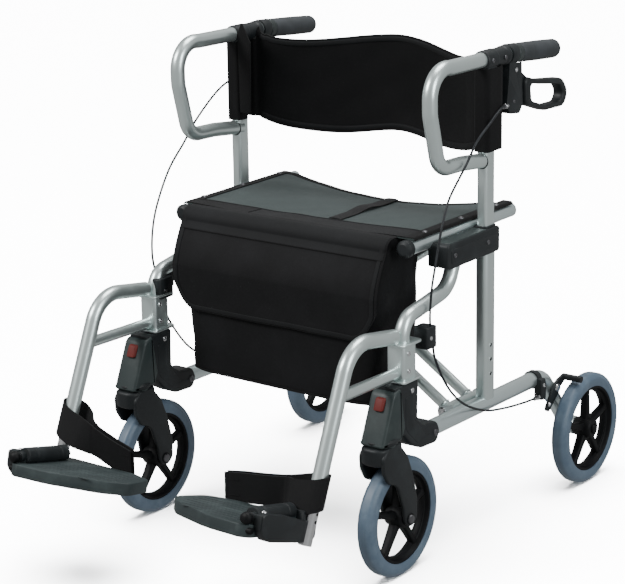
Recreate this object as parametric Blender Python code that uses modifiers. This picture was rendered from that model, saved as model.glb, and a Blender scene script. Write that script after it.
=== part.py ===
# Folding rollator that doubles as a transport chair: two side frames joined by a cross
# brace, four 200 mm wheels, a sling seat with a bag, a backrest band, push grips with loop
# brakes, and swing-away footrests.
# Metres, +Z up, front towards -Y, right-hand side at +X. Lengths along Y are laid out from a
# line near the middle of the base, and the whole layout is centred on the origin at the end.

import math

import bmesh
import bpy
from mathutils import Matrix, Vector

# Overall layout
FRAME_X = 0.256            # centre plane of each side frame
PIVOT_X = 0.228            # fold pivots and seat rails, inboard of the side frames
ORIGIN_Y = 0.017           # middle of the overall length, on the layout line
GAP = 0.0003               # clearance between pieces that touch
FIT = 0.0004               # radial clearance of pins, tubes and sleeves

# Tubes
RAIL_RADIUS = 0.014
RAIL_Z = 0.221
RAIL_FRONT_Y = -0.030
RAIL_REAR_Y = 0.335        # where the lower rail turns down to the rear axle
RAIL_RISE = -0.005         # the rail falls a little towards the rear
RAIL_BEND = 0.050
LEG_RADIUS = 0.0125        # front leg, hanger, handle loop and seat rails
STRUT_RADIUS = 0.0095
EXTENSION_RADIUS = 0.0107
TUBE_WALL = 0.0015

# Handle posts: a flat-sided inner tube slides in a flat-sided outer one
POST_Y = 0.150
POST_WIDTH = 0.020        # inner post, across X
POST_DEPTH = 0.0285        # inner post, along Y
POST_CORNER = 0.006
POST_WALL = 0.0012
POST_BOTTOM_Z = 0.365
HOLE_RADIUS = 0.0035
HOLE_PITCH = 0.025
HOLE_LOW_Z = 0.279
HOLE_COUNT = 3

# Seat rails and the housings that carry them
SEAT_RAIL_Z = 0.525
SEAT_RAIL_FRONT_Y = -0.045
SEAT_RAIL_REAR_Y = 0.272
CAP_RADIUS = 0.0145
CAP_LENGTH = 0.016
HOUSING_WIDTH = 0.040
HOUSING_FRONT_Y = 0.012
HOUSING_REAR_Y = 0.170
HOUSING_HEIGHT = 0.043

# Front leg, caster housing and hanger bracket
LEG_Y = -0.098
LEG_BOTTOM_Z = 0.262
LEG_KNEE_Z = 0.424
LEG_TOP_Y = 0.034
LEG_TOP_Z = 0.446
LEG_UPPER_BEND = 0.045
LEG_LOWER_BEND = 0.035
CASTER_TOP_Z = 0.3265
STEM_Y = -0.158
STEM_RADIUS = 0.008
NECK_Z = 0.238             # joint between caster housing and fork
HOUSING_NOSE_WIDTH = 0.046
HOUSING_ARM_WIDTH = 0.038
BRACKET_LOW_Z = 0.327
BRACKET_HIGH_Z = 0.391
FLANGE_THICK = 0.004
LATCH_GAP = 0.010

# Wheels
WHEEL_RADIUS = 0.100
TYRE_WIDTH = 0.030
TYRE_DEPTH = 0.023         # radial thickness of the tyre
RIM_WIDTH = 0.024
RIM_DEPTH = 0.010
WHEEL_STEPS = 24
SPOKES = 5
SPOKE_WIDTH = 0.014
HUB_RADIUS = 0.017
FRONT_HUB = 0.034          # length of the front hub between the fork legs
REAR_HUB = 0.036
AXLE_RADIUS = 0.004
TRAIL = 0.045
REAR_AXLE_Y = 0.429
REAR_WHEEL_X = 0.293
FORK_WIDTH = 0.050
CROWN_FRONT_Y = -0.194
FORK_SLOT = 0.036
FORK_ARCH_Z = 0.2065       # top of the arch between the two fork legs
FORK_SHOULDER_Z = 0.194
FORK_ARCH_HALF = 0.012     # half of the arch's flat top
FORK_CLEAR = 0.0045        # between tyre and fork

# Handles
LOOP_LOW_Z = 0.637
LOOP_HIGH_Z = 0.803
LOOP_FRONT_Y = -0.016
GRIP_TILT = 0.012          # fall of the tube over the length of the grip
GRIP_FRONT_Y = 0.230
GRIP_LENGTH = 0.140
GRIP_RADIUS = 0.0165
CLAMP_RADIUS = 0.0155
CLAMP_FRONT_Y = 0.134
CLAMP_LENGTH = 0.072
LEVER_PIVOT = (0.230, 0.775)
LEVER_WIDTH = 0.022
BRACKET_WIDTH = 0.016

# Cross brace
LADDER_A = (0.082, 0.149)  # where the two tubes of each member lie along Y
LADDER_B = (0.104, 0.127)
SLEEVE_RADIUS = 0.0105
SLEEVE_FRONT_Y = 0.0685
SLEEVE_LENGTH = 0.100
PIVOT_ROD_RADIUS = 0.006
LUG_THICK = 0.006
BOLT_RADIUS = 0.0045

# Rear brake
BRAKE_PIVOT = (0.360, 0.190)
BRAKE_ARM_LOW = (0.329, 0.160)  # where the cable pulls on the arm
SHOE_RADIUS = 0.006
SHOE_GAP = 0.005
SHOE_ANGLE = math.radians(22)
ANCHOR_Y = 0.300           # block that holds the end of the brake cable

# Footrests
HANGER_TOP_Y = -0.121
HANGER_TOP_Z = 0.403
HANGER_KNEE = (-0.238, 0.4217)
HANGER_BEND = 0.060
HANGER_END_Z = 0.200
LEG_SLOPE = 0.44           # forward travel of the hanger leg for each unit of height
STRUT_FRONT = (-0.270, 0.345)
STRUT_REAR = (-0.112, 0.341)
INSERTION = 0.120          # extension tube inside the hanger at rest
TUBE_END_Z = 0.134         # lower end of the extension tube, just under the side block
PLATE_ORIGIN = (-0.345, 0.1585)
PLATE_TILT = math.radians(14)
PLATE_THICK = 0.020
PLATE_LENGTH = 0.150
PLATE_REACH = 0.190
BARREL_X = 0.235
BARREL_RADIUS = 0.0083
BARREL_HEIGHT = 0.0195     # barrel axis above the middle of the plate
PIN_RADIUS = 0.0045
STRAP_WIDTH = 0.040
STRAP_THICK = 0.0025
# The two heel straps are set differently: height at the leg, fall and inner end
STRAP_MIDDLE_Z = {"right": 0.216, "left": 0.228}
STRAP_FALL = {"right": 0.034, "left": 0.052}
STRAP_END_X = {"right": 0.078, "left": 0.120}

# Fabric
FABRIC_THICK = 0.003
SEAT_SAG = 0.023           # at the rear edge
SEAT_SAG_FRONT = 0.003
SEAT_FRONT_Y = -0.034
SEAT_REAR_Y = 0.262
SEAT_OVERHANG = 0.008
LIFT_STRAP_FRONT_Y = 0.028 # the lift strap starts behind the front panel of the seat
LIFT_STRAP_RISE = 0.004
BAND_THICK = 0.004
BAND_LOW_Z = 0.653
BAND_HIGH_Z = 0.783
BAND_DROP = 0.026          # how far the lower edge falls between the posts
BAND_RISE = 0.020          # how far the upper edge rises towards the middle
BAND_BULGE = 0.125
BAG_HALF_WIDTH = 0.204
BAG_TAPER = 0.014          # the bag is this much narrower at its floor, on each side
BAG_TOP_Y = -0.062         # front of the bag under the fold of the flap
BAG_FRONT_Y = -0.088       # front of the filled lower part
BAG_KNEE_Z = 0.440         # where the slanting upper front meets the upright lower one
BAG_REAR_Y = 0.045
BAG_LOW_Z = 0.262
FLAP_HALF_WIDTH = 0.215
FLAP_LOW_Z = 0.373
FLAP_BULGE = 0.006
FLAP_START_Y = -0.0346     # where the flap is sewn to the front edge of the seat
FLAP_TURN = 0.019          # radius of its fold over the front edge
FLAP_THICK = 0.004
CABLE_RADIUS = 0.0025

FINISHES = {
    "silver": ((0.36, 0.42, 0.40), 0.34, 0.85),
    "black_plastic": ((0.022, 0.026, 0.028), 0.55, 0.0),
    "dark_plastic": ((0.040, 0.055, 0.055), 0.50, 0.0),
    "grey_tyre": ((0.115, 0.200, 0.300), 0.65, 0.0),
    "foam": ((0.020, 0.024, 0.026), 0.85, 0.0),
    "steel": ((0.60, 0.62, 0.62), 0.25, 1.0),
    "mesh_fabric": ((0.080, 0.105, 0.105), 0.80, 0.0),
    "black_fabric": ((0.010, 0.010, 0.011), 0.75, 0.0),
}

SIDES = {"right": 1.0, "left": -1.0}


def clear_scene():
    for old in list(bpy.data.objects):
        bpy.data.objects.remove(old, do_unlink=True)


def make_collection(name):
    collection = bpy.data.collections.new(name)
    bpy.context.scene.collection.children.link(collection)
    return collection


clear_scene()
PARTS = make_collection("rollator")
CUTTERS = make_collection("cutters")
MATERIALS = {}


def finish_material(name):
    if name not in MATERIALS:
        colour, roughness, metallic = FINISHES[name]
        material = bpy.data.materials.new(name)
        material.use_nodes = True
        shader = material.node_tree.nodes["Principled BSDF"]
        shader.inputs["Base Color"].default_value = (*colour, 1.0)
        shader.inputs["Roughness"].default_value = roughness
        shader.inputs["Metallic"].default_value = metallic
        MATERIALS[name] = material
    return MATERIALS[name]


def place(name, data, finish):
    shape = bpy.data.objects.new(name, data)
    PARTS.objects.link(shape)
    if finish:
        data.materials.append(finish_material(finish))
    return shape


def tool(shape):
    """Turns a shape into a hidden guide that other shapes are cut with or joined to."""
    PARTS.objects.unlink(shape)
    CUTTERS.objects.link(shape)
    shape.hide_render = True
    shape.display_type = "WIRE"
    return shape


def combine(shape, other, operation):
    change = shape.modifiers.new(operation.lower(), "BOOLEAN")
    change.operation = operation
    change.solver = "EXACT"
    change.object = tool(other)
    return shape


def join(shape, other):
    return combine(shape, other, "UNION")


def cut(shape, other):
    return combine(shape, other, "DIFFERENCE")


def as_mesh(shape):
    """Makes a curve a mesh, with its caps welded, so that it can be cut."""
    bpy.context.view_layer.update()
    graph = bpy.context.evaluated_depsgraph_get()
    mesh = bpy.data.meshes.new_from_object(shape.evaluated_get(graph))
    welded = bmesh.new()
    welded.from_mesh(mesh)
    bmesh.ops.remove_doubles(welded, verts=welded.verts, dist=0.00001)
    welded.to_mesh(mesh)
    welded.free()
    name, matrix = shape.name, shape.matrix_world.copy()
    bpy.data.objects.remove(shape, do_unlink=True)
    solid = bpy.data.objects.new(name, mesh)
    PARTS.objects.link(solid)
    solid.matrix_world = matrix
    return solid


def soften(shape, width, segments=1):
    bevel = shape.modifiers.new("rounded edges", "BEVEL")
    bevel.width = width
    bevel.segments = segments
    bevel.limit_method = "ANGLE"
    bevel.angle_limit = math.radians(35)
    return shape


def rounded(points, radii, closed=False, turn=math.radians(26)):
    """The points of a path or an outline, with an arc of the given radius at each corner."""
    corners = [Vector(point) for point in points]
    result = []
    for index, corner in enumerate(corners):
        radius = radii[index]
        ends = index in (0, len(corners) - 1) and not closed
        if ends or radius <= 0.0:
            result.append(corner)
            continue
        back = corners[index - 1] - corner
        ahead = corners[(index + 1) % len(corners)] - corner
        room = 0.49 * min(back.length, ahead.length)
        back.normalize()
        ahead.normalize()
        opening = back.angle(ahead)
        reach = radius / math.tan(opening / 2)
        if reach > room and closed:
            reach = room
            radius = reach * math.tan(opening / 2)
        centre = corner + (back + ahead).normalized() * radius / math.sin(opening / 2)
        start = corner + back * reach - centre
        end = corner + ahead * reach - centre
        steps = max(1, math.ceil((math.pi - opening) / turn))
        sweep = math.pi - opening
        for step in range(steps + 1):
            share = sweep * step / steps
            arm = start * math.sin(sweep - share) + end * math.sin(share)
            result.append(centre + arm / math.sin(sweep))
    return result


def in_plane(x, flat):
    """Lifts (y, z) points to the plane at x."""
    return [Vector((x, point[0], point[1])) for point in flat]


def smooth_route(points, spacing):
    """Even points along a smooth curve through hand-chosen ones."""
    knots = [Vector(point) for point in points]
    fine = []
    for index in range(len(knots) - 1):
        before = knots[max(index - 1, 0)]
        start, end = knots[index], knots[index + 1]
        after = knots[min(index + 2, len(knots) - 1)]
        for step in range(12):
            t = step / 12
            fine.append(0.5 * ((2 * start) + (end - before) * t
                               + (2 * before - 5 * start + 4 * end - after) * t * t
                               + (3 * start - before - 3 * end + after) * t ** 3))
    fine.append(knots[-1])
    travelled = [0.0]
    for first, second in zip(fine, fine[1:]):
        travelled.append(travelled[-1] + (second - first).length)
    count = max(2, round(travelled[-1] / spacing))
    even = []
    for number in range(count + 1):
        target = travelled[-1] * number / count
        index = next(i for i in range(1, len(fine)) if travelled[i] >= target - 1e-9)
        span = travelled[index] - travelled[index - 1]
        even.append(fine[index - 1].lerp(fine[index], (target - travelled[index - 1]) / span))
    return even, travelled[-1]


def tube(name, points, radius, finish, sides=10):
    curve = bpy.data.curves.new(name, "CURVE")
    curve.dimensions = "3D"
    curve.bevel_depth = radius
    curve.bevel_resolution = sides // 2 - 2
    curve.use_fill_caps = True
    spline = curve.splines.new("POLY")
    spline.points.add(len(points) - 1)
    for target, point in zip(spline.points, points):
        target.co = (*point, 1.0)
    return place(name, curve, finish)


def prism(name, outline, axis, low, high, finish):
    """A flat outline, extruded along an axis from low to high."""
    turns = {"X": (math.pi / 2, 0, math.pi / 2), "Y": (math.pi / 2, 0, 0), "Z": (0, 0, 0)}
    curve = bpy.data.curves.new(name, "CURVE")
    curve.dimensions = "2D"
    curve.fill_mode = "BOTH"
    curve.extrude = (high - low) / 2
    spline = curve.splines.new("POLY")
    spline.points.add(len(outline) - 1)
    for target, point in zip(spline.points, outline):
        target.co = (point[0], point[1], 0.0, 1.0)
    spline.use_cyclic_u = True
    shape = place(name, curve, finish)
    shape.rotation_euler = turns[axis]
    shape.location["XYZ".index(axis)] = (low + high) / 2
    return as_mesh(shape)


def box(name, low, high, finish):
    low, high = Vector(low), Vector(high)
    solid = bmesh.new()
    bmesh.ops.create_cube(solid, size=1.0)
    size = high - low
    bmesh.ops.scale(solid, vec=[abs(length) for length in size], verts=solid.verts)
    mesh = bpy.data.meshes.new(name)
    solid.to_mesh(mesh)
    solid.free()
    shape = place(name, mesh, finish)
    shape.location = (low + high) / 2
    return shape


def rod(name, start, end, radius, finish, sides=16):
    start, end = Vector(start), Vector(end)
    solid = bmesh.new()
    bmesh.ops.create_cone(solid, cap_ends=True, segments=sides, radius1=radius,
                          radius2=radius, depth=(end - start).length)
    mesh = bpy.data.meshes.new(name)
    solid.to_mesh(mesh)
    solid.free()
    shape = place(name, mesh, finish)
    shape.location = (start + end) / 2
    shape.rotation_euler = (end - start).to_track_quat("Z", "Y").to_euler()
    return shape


def turned(name, profile, centre, axis, finish, steps=24):
    """Turns a (radius, height) profile, listed down its outer side, about an axis."""
    closed = profile[0][0] > 0.0
    mesh = bpy.data.meshes.new(name)
    count = len(profile)
    edges = [(i, i + 1) for i in range(count - 1)] + ([(count - 1, 0)] if closed else [])
    mesh.from_pydata([(radius, 0.0, height) for radius, height in profile], edges, [])
    shape = place(name, mesh, finish)
    screw = shape.modifiers.new("turned", "SCREW")
    screw.steps = screw.render_steps = steps
    screw.use_merge_vertices = True
    screw.merge_threshold = 0.00001
    shape.location = centre
    shape.rotation_euler = Vector(axis).to_track_quat("Z", "Y").to_euler()
    return shape


def sheet(name, surface, columns, rows, thickness, finish):
    """A grid bent to surface(u, v), both from 0 to 1, and given a thickness."""
    grid = bmesh.new()
    bmesh.ops.create_grid(grid, x_segments=columns, y_segments=rows, size=0.5)
    for vertex in grid.verts:
        vertex.co = surface(vertex.co.x + 0.5, vertex.co.y + 0.5)
    mesh = bpy.data.meshes.new(name)
    grid.to_mesh(mesh)
    grid.free()
    shape = place(name, mesh, finish)
    wall = shape.modifiers.new("thickness", "SOLIDIFY")
    wall.thickness = thickness
    wall.offset = 0.0
    return shape


def pivot(name, location, pieces):
    """An empty on a joint's axis that carries the pieces of one moving body."""
    empty = bpy.data.objects.new(name, None)
    PARTS.objects.link(empty)
    empty.location = location
    for piece in pieces:
        piece.parent = empty
        piece.matrix_parent_inverse = Matrix.Translation(location).inverted()
    return empty


def flat_oval(half_width, half_depth, corner, centre):
    """Outline of a flat-sided tube in plan."""
    x, y = centre
    corners = [(x - half_width, y - half_depth, 0), (x + half_width, y - half_depth, 0),
               (x + half_width, y + half_depth, 0), (x - half_width, y + half_depth, 0)]
    return rounded(corners, [corner] * 4, closed=True, turn=math.radians(45))


def rail_path(side):
    flat = [(RAIL_FRONT_Y, RAIL_Z, 0), (RAIL_REAR_Y, RAIL_Z + RAIL_RISE, 0),
            (REAR_AXLE_Y, WHEEL_RADIUS, 0)]
    return in_plane(side * FRAME_X, rounded(flat, [0, RAIL_BEND, 0]))


def rail_height(y):
    return RAIL_Z + RAIL_RISE * (y - RAIL_FRONT_Y) / (RAIL_REAR_Y - RAIL_FRONT_Y)


def leg_path(side):
    flat = [(LEG_TOP_Y + 0.026, SEAT_RAIL_Z - 0.020, 0), (LEG_TOP_Y, LEG_TOP_Z, 0),
            (LEG_Y, LEG_KNEE_Z, 0), (LEG_Y, LEG_BOTTOM_Z, 0)]
    return in_plane(side * FRAME_X, rounded(flat, [0, LEG_UPPER_BEND, LEG_LOWER_BEND, 0]))


def lower_rail(side, label):
    x = side * FRAME_X
    rail = as_mesh(tube(f"lower_rail_{label}", rail_path(side), RAIL_RADIUS, "silver"))
    inner = side * (FRAME_X - RAIL_RADIUS)
    outer = side * (REAR_WHEEL_X - REAR_HUB / 2 - GAP)
    boss = rod("axle boss", (inner, REAR_AXLE_Y, WHEEL_RADIUS),
               (outer, REAR_AXLE_Y, WHEEL_RADIUS), 0.0165, None, 20)
    join(rail, boss)
    rod_x = side * PIVOT_X
    z = rail_height(SLEEVE_FRONT_Y + SLEEVE_LENGTH / 2)
    front = SLEEVE_FRONT_Y - GAP - LUG_THICK
    rear = SLEEVE_FRONT_Y + SLEEVE_LENGTH + GAP
    join(rail, rod("pivot rod", (rod_x, front + 0.001, RAIL_Z),
                   (rod_x, rear + LUG_THICK - 0.001, RAIL_Z), PIVOT_ROD_RADIUS, None))
    for y in (front, rear):
        lug = box("pivot lug", (rod_x - side * 0.010, y, RAIL_Z - 0.010),
                  (x - side * 0.008, y + LUG_THICK, z + 0.010), None)
        join(rail, lug)
    pin = rod("brake pivot", (x, *BRAKE_PIVOT), (side * (FRAME_X + 0.023), *BRAKE_PIVOT),
              0.005, None, 12)
    join(rail, pin)
    anchor = box("cable anchor", (x, ANCHOR_Y, 0.184),
                 (side * (FRAME_X + 0.023), ANCHOR_Y + 0.014, 0.224), None)
    join(rail, anchor)
    far = side * (REAR_WHEEL_X + REAR_HUB)
    cut(rail, rod("axle bore", (0, REAR_AXLE_Y, WHEEL_RADIUS),
                  (far, REAR_AXLE_Y, WHEEL_RADIUS), AXLE_RADIUS + FIT, None))
    return rail


def post_outline(side, growth):
    return flat_oval(POST_WIDTH / 2 + growth, POST_DEPTH / 2 + growth, POST_CORNER + growth,
                     (side * FRAME_X, POST_Y))


def lower_post(side, label):
    outer = post_outline(side, FIT + POST_WALL)
    post = prism(f"lower_post_{label}", outer, "Z", RAIL_Z, SEAT_RAIL_Z, "silver")
    bore = prism("post bore", post_outline(side, FIT), "Z", RAIL_Z - 0.01,
                 SEAT_RAIL_Z + 0.01, None)
    cut(post, bore)
    cut(post, as_mesh(tube("rail saddle", rail_path(side), RAIL_RADIUS + GAP, None)))
    face = side * (FRAME_X + POST_WIDTH)
    for number in range(HOLE_COUNT):
        z = HOLE_LOW_Z + number * HOLE_PITCH
        cut(post, rod("height hole", (side * FRAME_X, POST_Y, z), (face, POST_Y, z),
                      HOLE_RADIUS, None, 12))
    return post


def seat_rail_path(side, growth=0.0):
    x = side * PIVOT_X
    return [Vector((x, SEAT_RAIL_FRONT_Y - growth, SEAT_RAIL_Z)),
            Vector((x, SEAT_RAIL_REAR_Y + growth, SEAT_RAIL_Z))]


def seat_housing(side, label):
    near = side * (FRAME_X + 0.016 - HOUSING_WIDTH)
    far = side * (FRAME_X + 0.016)
    housing = box(f"seat_housing_{label}", (near, HOUSING_FRONT_Y, SEAT_RAIL_Z - HOUSING_HEIGHT),
                  (far, HOUSING_REAR_Y, SEAT_RAIL_Z), "black_plastic")
    soften(housing, 0.004)
    cut(housing, as_mesh(tube("rail groove", seat_rail_path(side, 0.01), LEG_RADIUS + GAP,
                              None, 12)))
    cut(housing, prism("post slot", post_outline(side, FIT + POST_WALL + GAP), "Z",
                       SEAT_RAIL_Z - HOUSING_HEIGHT - 0.01, SEAT_RAIL_Z + 0.01, None))
    cut(housing, as_mesh(tube("leg socket", leg_path(side), LEG_RADIUS + GAP, None)))
    return housing


def front_leg(side, label):
    return tube(f"front_leg_tube_{label}", leg_path(side), LEG_RADIUS, "silver")


def caster_housing(side, label):
    x = side * FRAME_X
    arm = [(-0.127, CASTER_TOP_Z, 0), (LEG_Y + 0.020, CASTER_TOP_Z, 0), (-0.080, 0.258, 0),
           (-0.058, 0.243, 0), (-0.024, 0.2395, 0), (-0.0155, 0.221, 0), (-0.024, 0.2030, 0),
           (-0.070, 0.2055, 0), (-0.100, 0.222, 0), (-0.117, NECK_Z + 0.003, 0),
           (-0.134, NECK_Z + 0.004, 0)]
    radii = [0, 0.006, 0.014, 0.014, 0.010, 0.012, 0.010, 0.030, 0.020, 0, 0]
    half = HOUSING_ARM_WIDTH / 2
    housing = prism(f"caster_housing_{label}", rounded(arm, radii, closed=True), "X",
                    x - half, x + half, "black_plastic")
    nose = [(-0.112, CASTER_TOP_Z - 0.002, 0), (-0.150, CASTER_TOP_Z - 0.006, 0),
            (-0.187, NECK_Z, 0), (-0.128, NECK_Z, 0), (-0.112, NECK_Z + 0.014, 0)]
    half = HOUSING_NOSE_WIDTH / 2
    front = prism("caster nose", rounded(nose, [0, 0.014, 0, 0, 0], closed=True),
                  "X", x - half, x + half, None)
    soften(housing, 0.004)
    soften(front, 0.005)
    join(housing, front)
    cut(housing, rod("leg bore", (x, LEG_Y, LEG_BOTTOM_Z - GAP), (x, LEG_Y, CASTER_TOP_Z + 0.02),
                     LEG_RADIUS + GAP, None, 24))
    cut(housing, rod("stem bore", (x, STEM_Y, NECK_Z - 0.02), (x, STEM_Y, NECK_Z + 0.060),
                     STEM_RADIUS + FIT, None))
    rail = [rail_path(side)[0] - Vector((0, GAP, 0)), rail_path(side)[1]]
    cut(housing, as_mesh(tube("rail socket", rail, RAIL_RADIUS + GAP, None)))
    return housing


def fork_centre(side):
    return side * FRAME_X, STEM_Y + TRAIL, WHEEL_RADIUS


def caster_fork(side, label):
    x, axle_y, axle_z = fork_centre(side)
    top = NECK_Z - GAP
    profile = [(-0.172, top, 0), (-0.140, top, 0), (-0.122, 0.212, 0), (-0.106, 0.176, 0),
               (axle_y + 0.022, 0.125, 0), (axle_y + 0.019, axle_z - 0.002, 0),
               (axle_y + 0.005, axle_z - 0.017, 0), (axle_y - 0.011, axle_z - 0.008, 0),
               (axle_y - 0.015, 0.115, 0), (-0.148, 0.168, 0),
               (CROWN_FRONT_Y + 0.004, 0.180, 0), (CROWN_FRONT_Y, 0.196, 0),
               (CROWN_FRONT_Y + 0.004, 0.218, 0)]
    radii = [0.010, 0.006, 0.014, 0.020, 0.014, 0.009, 0.009, 0.009, 0.012, 0.020, 0.006, 0.008,
             0.014]
    half = FORK_WIDTH / 2
    fork = prism(f"caster_fork_{label}", rounded(profile, radii, closed=True), "X",
                 x - half, x + half, "black_plastic")
    plan = [(x - half, -0.05, 0), (x + half, -0.05, 0), (x + half, CROWN_FRONT_Y - 0.001, 0),
            (x - half, CROWN_FRONT_Y - 0.001, 0)]
    combine(fork, prism("crown plan", rounded(plan, [0, 0, half * 0.96, half * 0.96], closed=True),
                        "Z", 0.05, top + 0.02, None), "INTERSECT")
    half = FORK_SLOT / 2
    cut(fork, rod("wheel slot", (x - half, axle_y, axle_z), (x + half, axle_y, axle_z),
                  WHEEL_RADIUS + FORK_CLEAR, None, 36))
    arch = [(x - half, 0.05, 0), (x + half, 0.05, 0), (x + half, FORK_SHOULDER_Z, 0),
            (x + FORK_ARCH_HALF, FORK_ARCH_Z, 0), (x - FORK_ARCH_HALF, FORK_ARCH_Z, 0),
            (x - half, FORK_SHOULDER_Z, 0)]
    cut(fork, prism("fork arch", arch, "Y", CROWN_FRONT_Y - 0.01, axle_y + 0.06, None))
    join(fork, rod("stem", (x, STEM_Y, NECK_Z - 0.012), (x, STEM_Y, NECK_Z + 0.055),
                   STEM_RADIUS, None))
    cut(fork, rod("axle bore", (x - FORK_WIDTH, axle_y, axle_z),
                  (x + FORK_WIDTH, axle_y, axle_z), AXLE_RADIUS + FIT, None))
    return fork


def axle(name, centre, side, inner_face, outer_face):
    """A bolt along X with a head and a nut, both clear of the faces that they clamp."""
    head, cap = 0.0075, 0.004
    profile = [(0, outer_face + cap), (head * 0.6, outer_face + cap),
               (head, outer_face + cap * 0.5), (head, outer_face + GAP),
               (AXLE_RADIUS, outer_face + GAP), (AXLE_RADIUS, inner_face - GAP),
               (head, inner_face - GAP), (head, inner_face - cap), (0, inner_face - cap)]
    return turned(name, profile, centre, (side, 0, 0), "steel", 8)


def wheel(name, centre, hub):
    """Rim with spokes and hub, and the tyre that is stretched over it."""
    seat = WHEEL_RADIUS - TYRE_DEPTH
    half = RIM_WIDTH / 2
    ring = [(seat - GAP, half), (seat - GAP, -half), (seat - RIM_DEPTH, -half),
            (seat - RIM_DEPTH, half)]
    rim = turned(name.replace("wheel", "rim"), ring, centre, (1, 0, 0), "black_plastic",
                 WHEEL_STEPS)
    join(rim, rod("hub", Vector(centre) - Vector((hub / 2 - GAP, 0, 0)),
                  Vector(centre) + Vector((hub / 2 - GAP, 0, 0)), HUB_RADIUS, None, 12))
    reach = seat - RIM_DEPTH / 2
    for number in range(SPOKES):
        angle = 2 * math.pi * number / SPOKES
        outline = [(-SPOKE_WIDTH / 2, 0, 0), (SPOKE_WIDTH / 2, 0, 0),
                   (SPOKE_WIDTH * 0.36, reach, 0), (-SPOKE_WIDTH * 0.36, reach, 0)]
        spoke = prism("spoke", outline, "X", -0.007, 0.007, None)
        spoke.matrix_world = (Matrix.Translation(centre) @ Matrix.Rotation(angle, 4, "X")
                              @ spoke.matrix_world)
        join(rim, spoke)
    cut(rim, rod("hub bore", Vector(centre) - Vector((hub, 0, 0)),
                 Vector(centre) + Vector((hub, 0, 0)), AXLE_RADIUS + FIT, None))
    tread = TYRE_WIDTH / 2
    section = [(seat, tread * 0.9), (WHEEL_RADIUS - 0.009, tread),
               (WHEEL_RADIUS, tread * 0.5), (WHEEL_RADIUS, -tread * 0.5),
               (WHEEL_RADIUS - 0.009, -tread), (seat, -tread * 0.9)]
    tyre = turned(name.replace("wheel", "tyre"), section, centre, (1, 0, 0), "grey_tyre",
                  WHEEL_STEPS)
    return rim, tyre


def handle_loop_path(side):
    rear = GRIP_FRONT_Y + GRIP_LENGTH - 0.006
    flat = [(POST_Y, LOOP_LOW_Z, 0), (0.075, LOOP_LOW_Z + 0.008, 0), (0.008, LOOP_LOW_Z + 0.010, 0),
            (LOOP_FRONT_Y, 0.740, 0), (LOOP_FRONT_Y - 0.001, LOOP_HIGH_Z + 0.010, 0),
            (0.040, LOOP_HIGH_Z + 0.003, 0), (GRIP_FRONT_Y - 0.012, LOOP_HIGH_Z, 0),
            (rear, LOOP_HIGH_Z - GRIP_TILT, 0)]
    return in_plane(side * FRAME_X, rounded(flat, [0, 0, 0.034, 0.050, 0.045, 0, 0, 0]))


def handle_frame(side, label):
    frame = as_mesh(tube(f"handle_frame_{label}", handle_loop_path(side), LEG_RADIUS,
                         "silver"))
    post = prism("inner post", post_outline(side, 0.0), "Z", POST_BOTTOM_Z, LOOP_HIGH_Z, None)
    return join(frame, post)


def handle_clamp(side, label):
    x = side * FRAME_X
    clamp = rod(f"handle_clamp_{label}", (x, CLAMP_FRONT_Y, LOOP_HIGH_Z),
                (x, CLAMP_FRONT_Y + CLAMP_LENGTH, LOOP_HIGH_Z), CLAMP_RADIUS,
                "black_plastic", 24)
    soften(clamp, 0.0015, 1)
    cut(clamp, as_mesh(tube("clamp bore", handle_loop_path(side), LEG_RADIUS + GAP, None)))
    cut(clamp, prism("clamp slot", post_outline(side, GAP), "Z", LOOP_HIGH_Z - 0.03,
                     LOOP_HIGH_Z + 0.001, None))
    return clamp


def grip_axis(side, y):
    start = GRIP_FRONT_Y - 0.012
    rear = GRIP_FRONT_Y + GRIP_LENGTH - 0.006
    return Vector((side * FRAME_X, y, LOOP_HIGH_Z - GRIP_TILT * (y - start) / (rear - start)))


def push_grip(side, label):
    front, rear = grip_axis(side, GRIP_FRONT_Y), grip_axis(side, GRIP_FRONT_Y + GRIP_LENGTH)
    inner = LEG_RADIUS + 2 * FIT
    length = (rear - front).length
    outer = GRIP_RADIUS
    profile = [(0, length), (outer * 0.72, length), (outer, length - 0.006),
               (outer * 0.95, length * 0.70), (outer, length * 0.42),
               (outer * 0.93, length * 0.12), (outer * 1.02, 0.008), (outer * 0.94, 0),
               (inner, 0), (inner, length - 0.005), (0, length - 0.005)]
    return turned(f"push_grip_{label}", profile, front, rear - front, "foam", 14)


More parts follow.
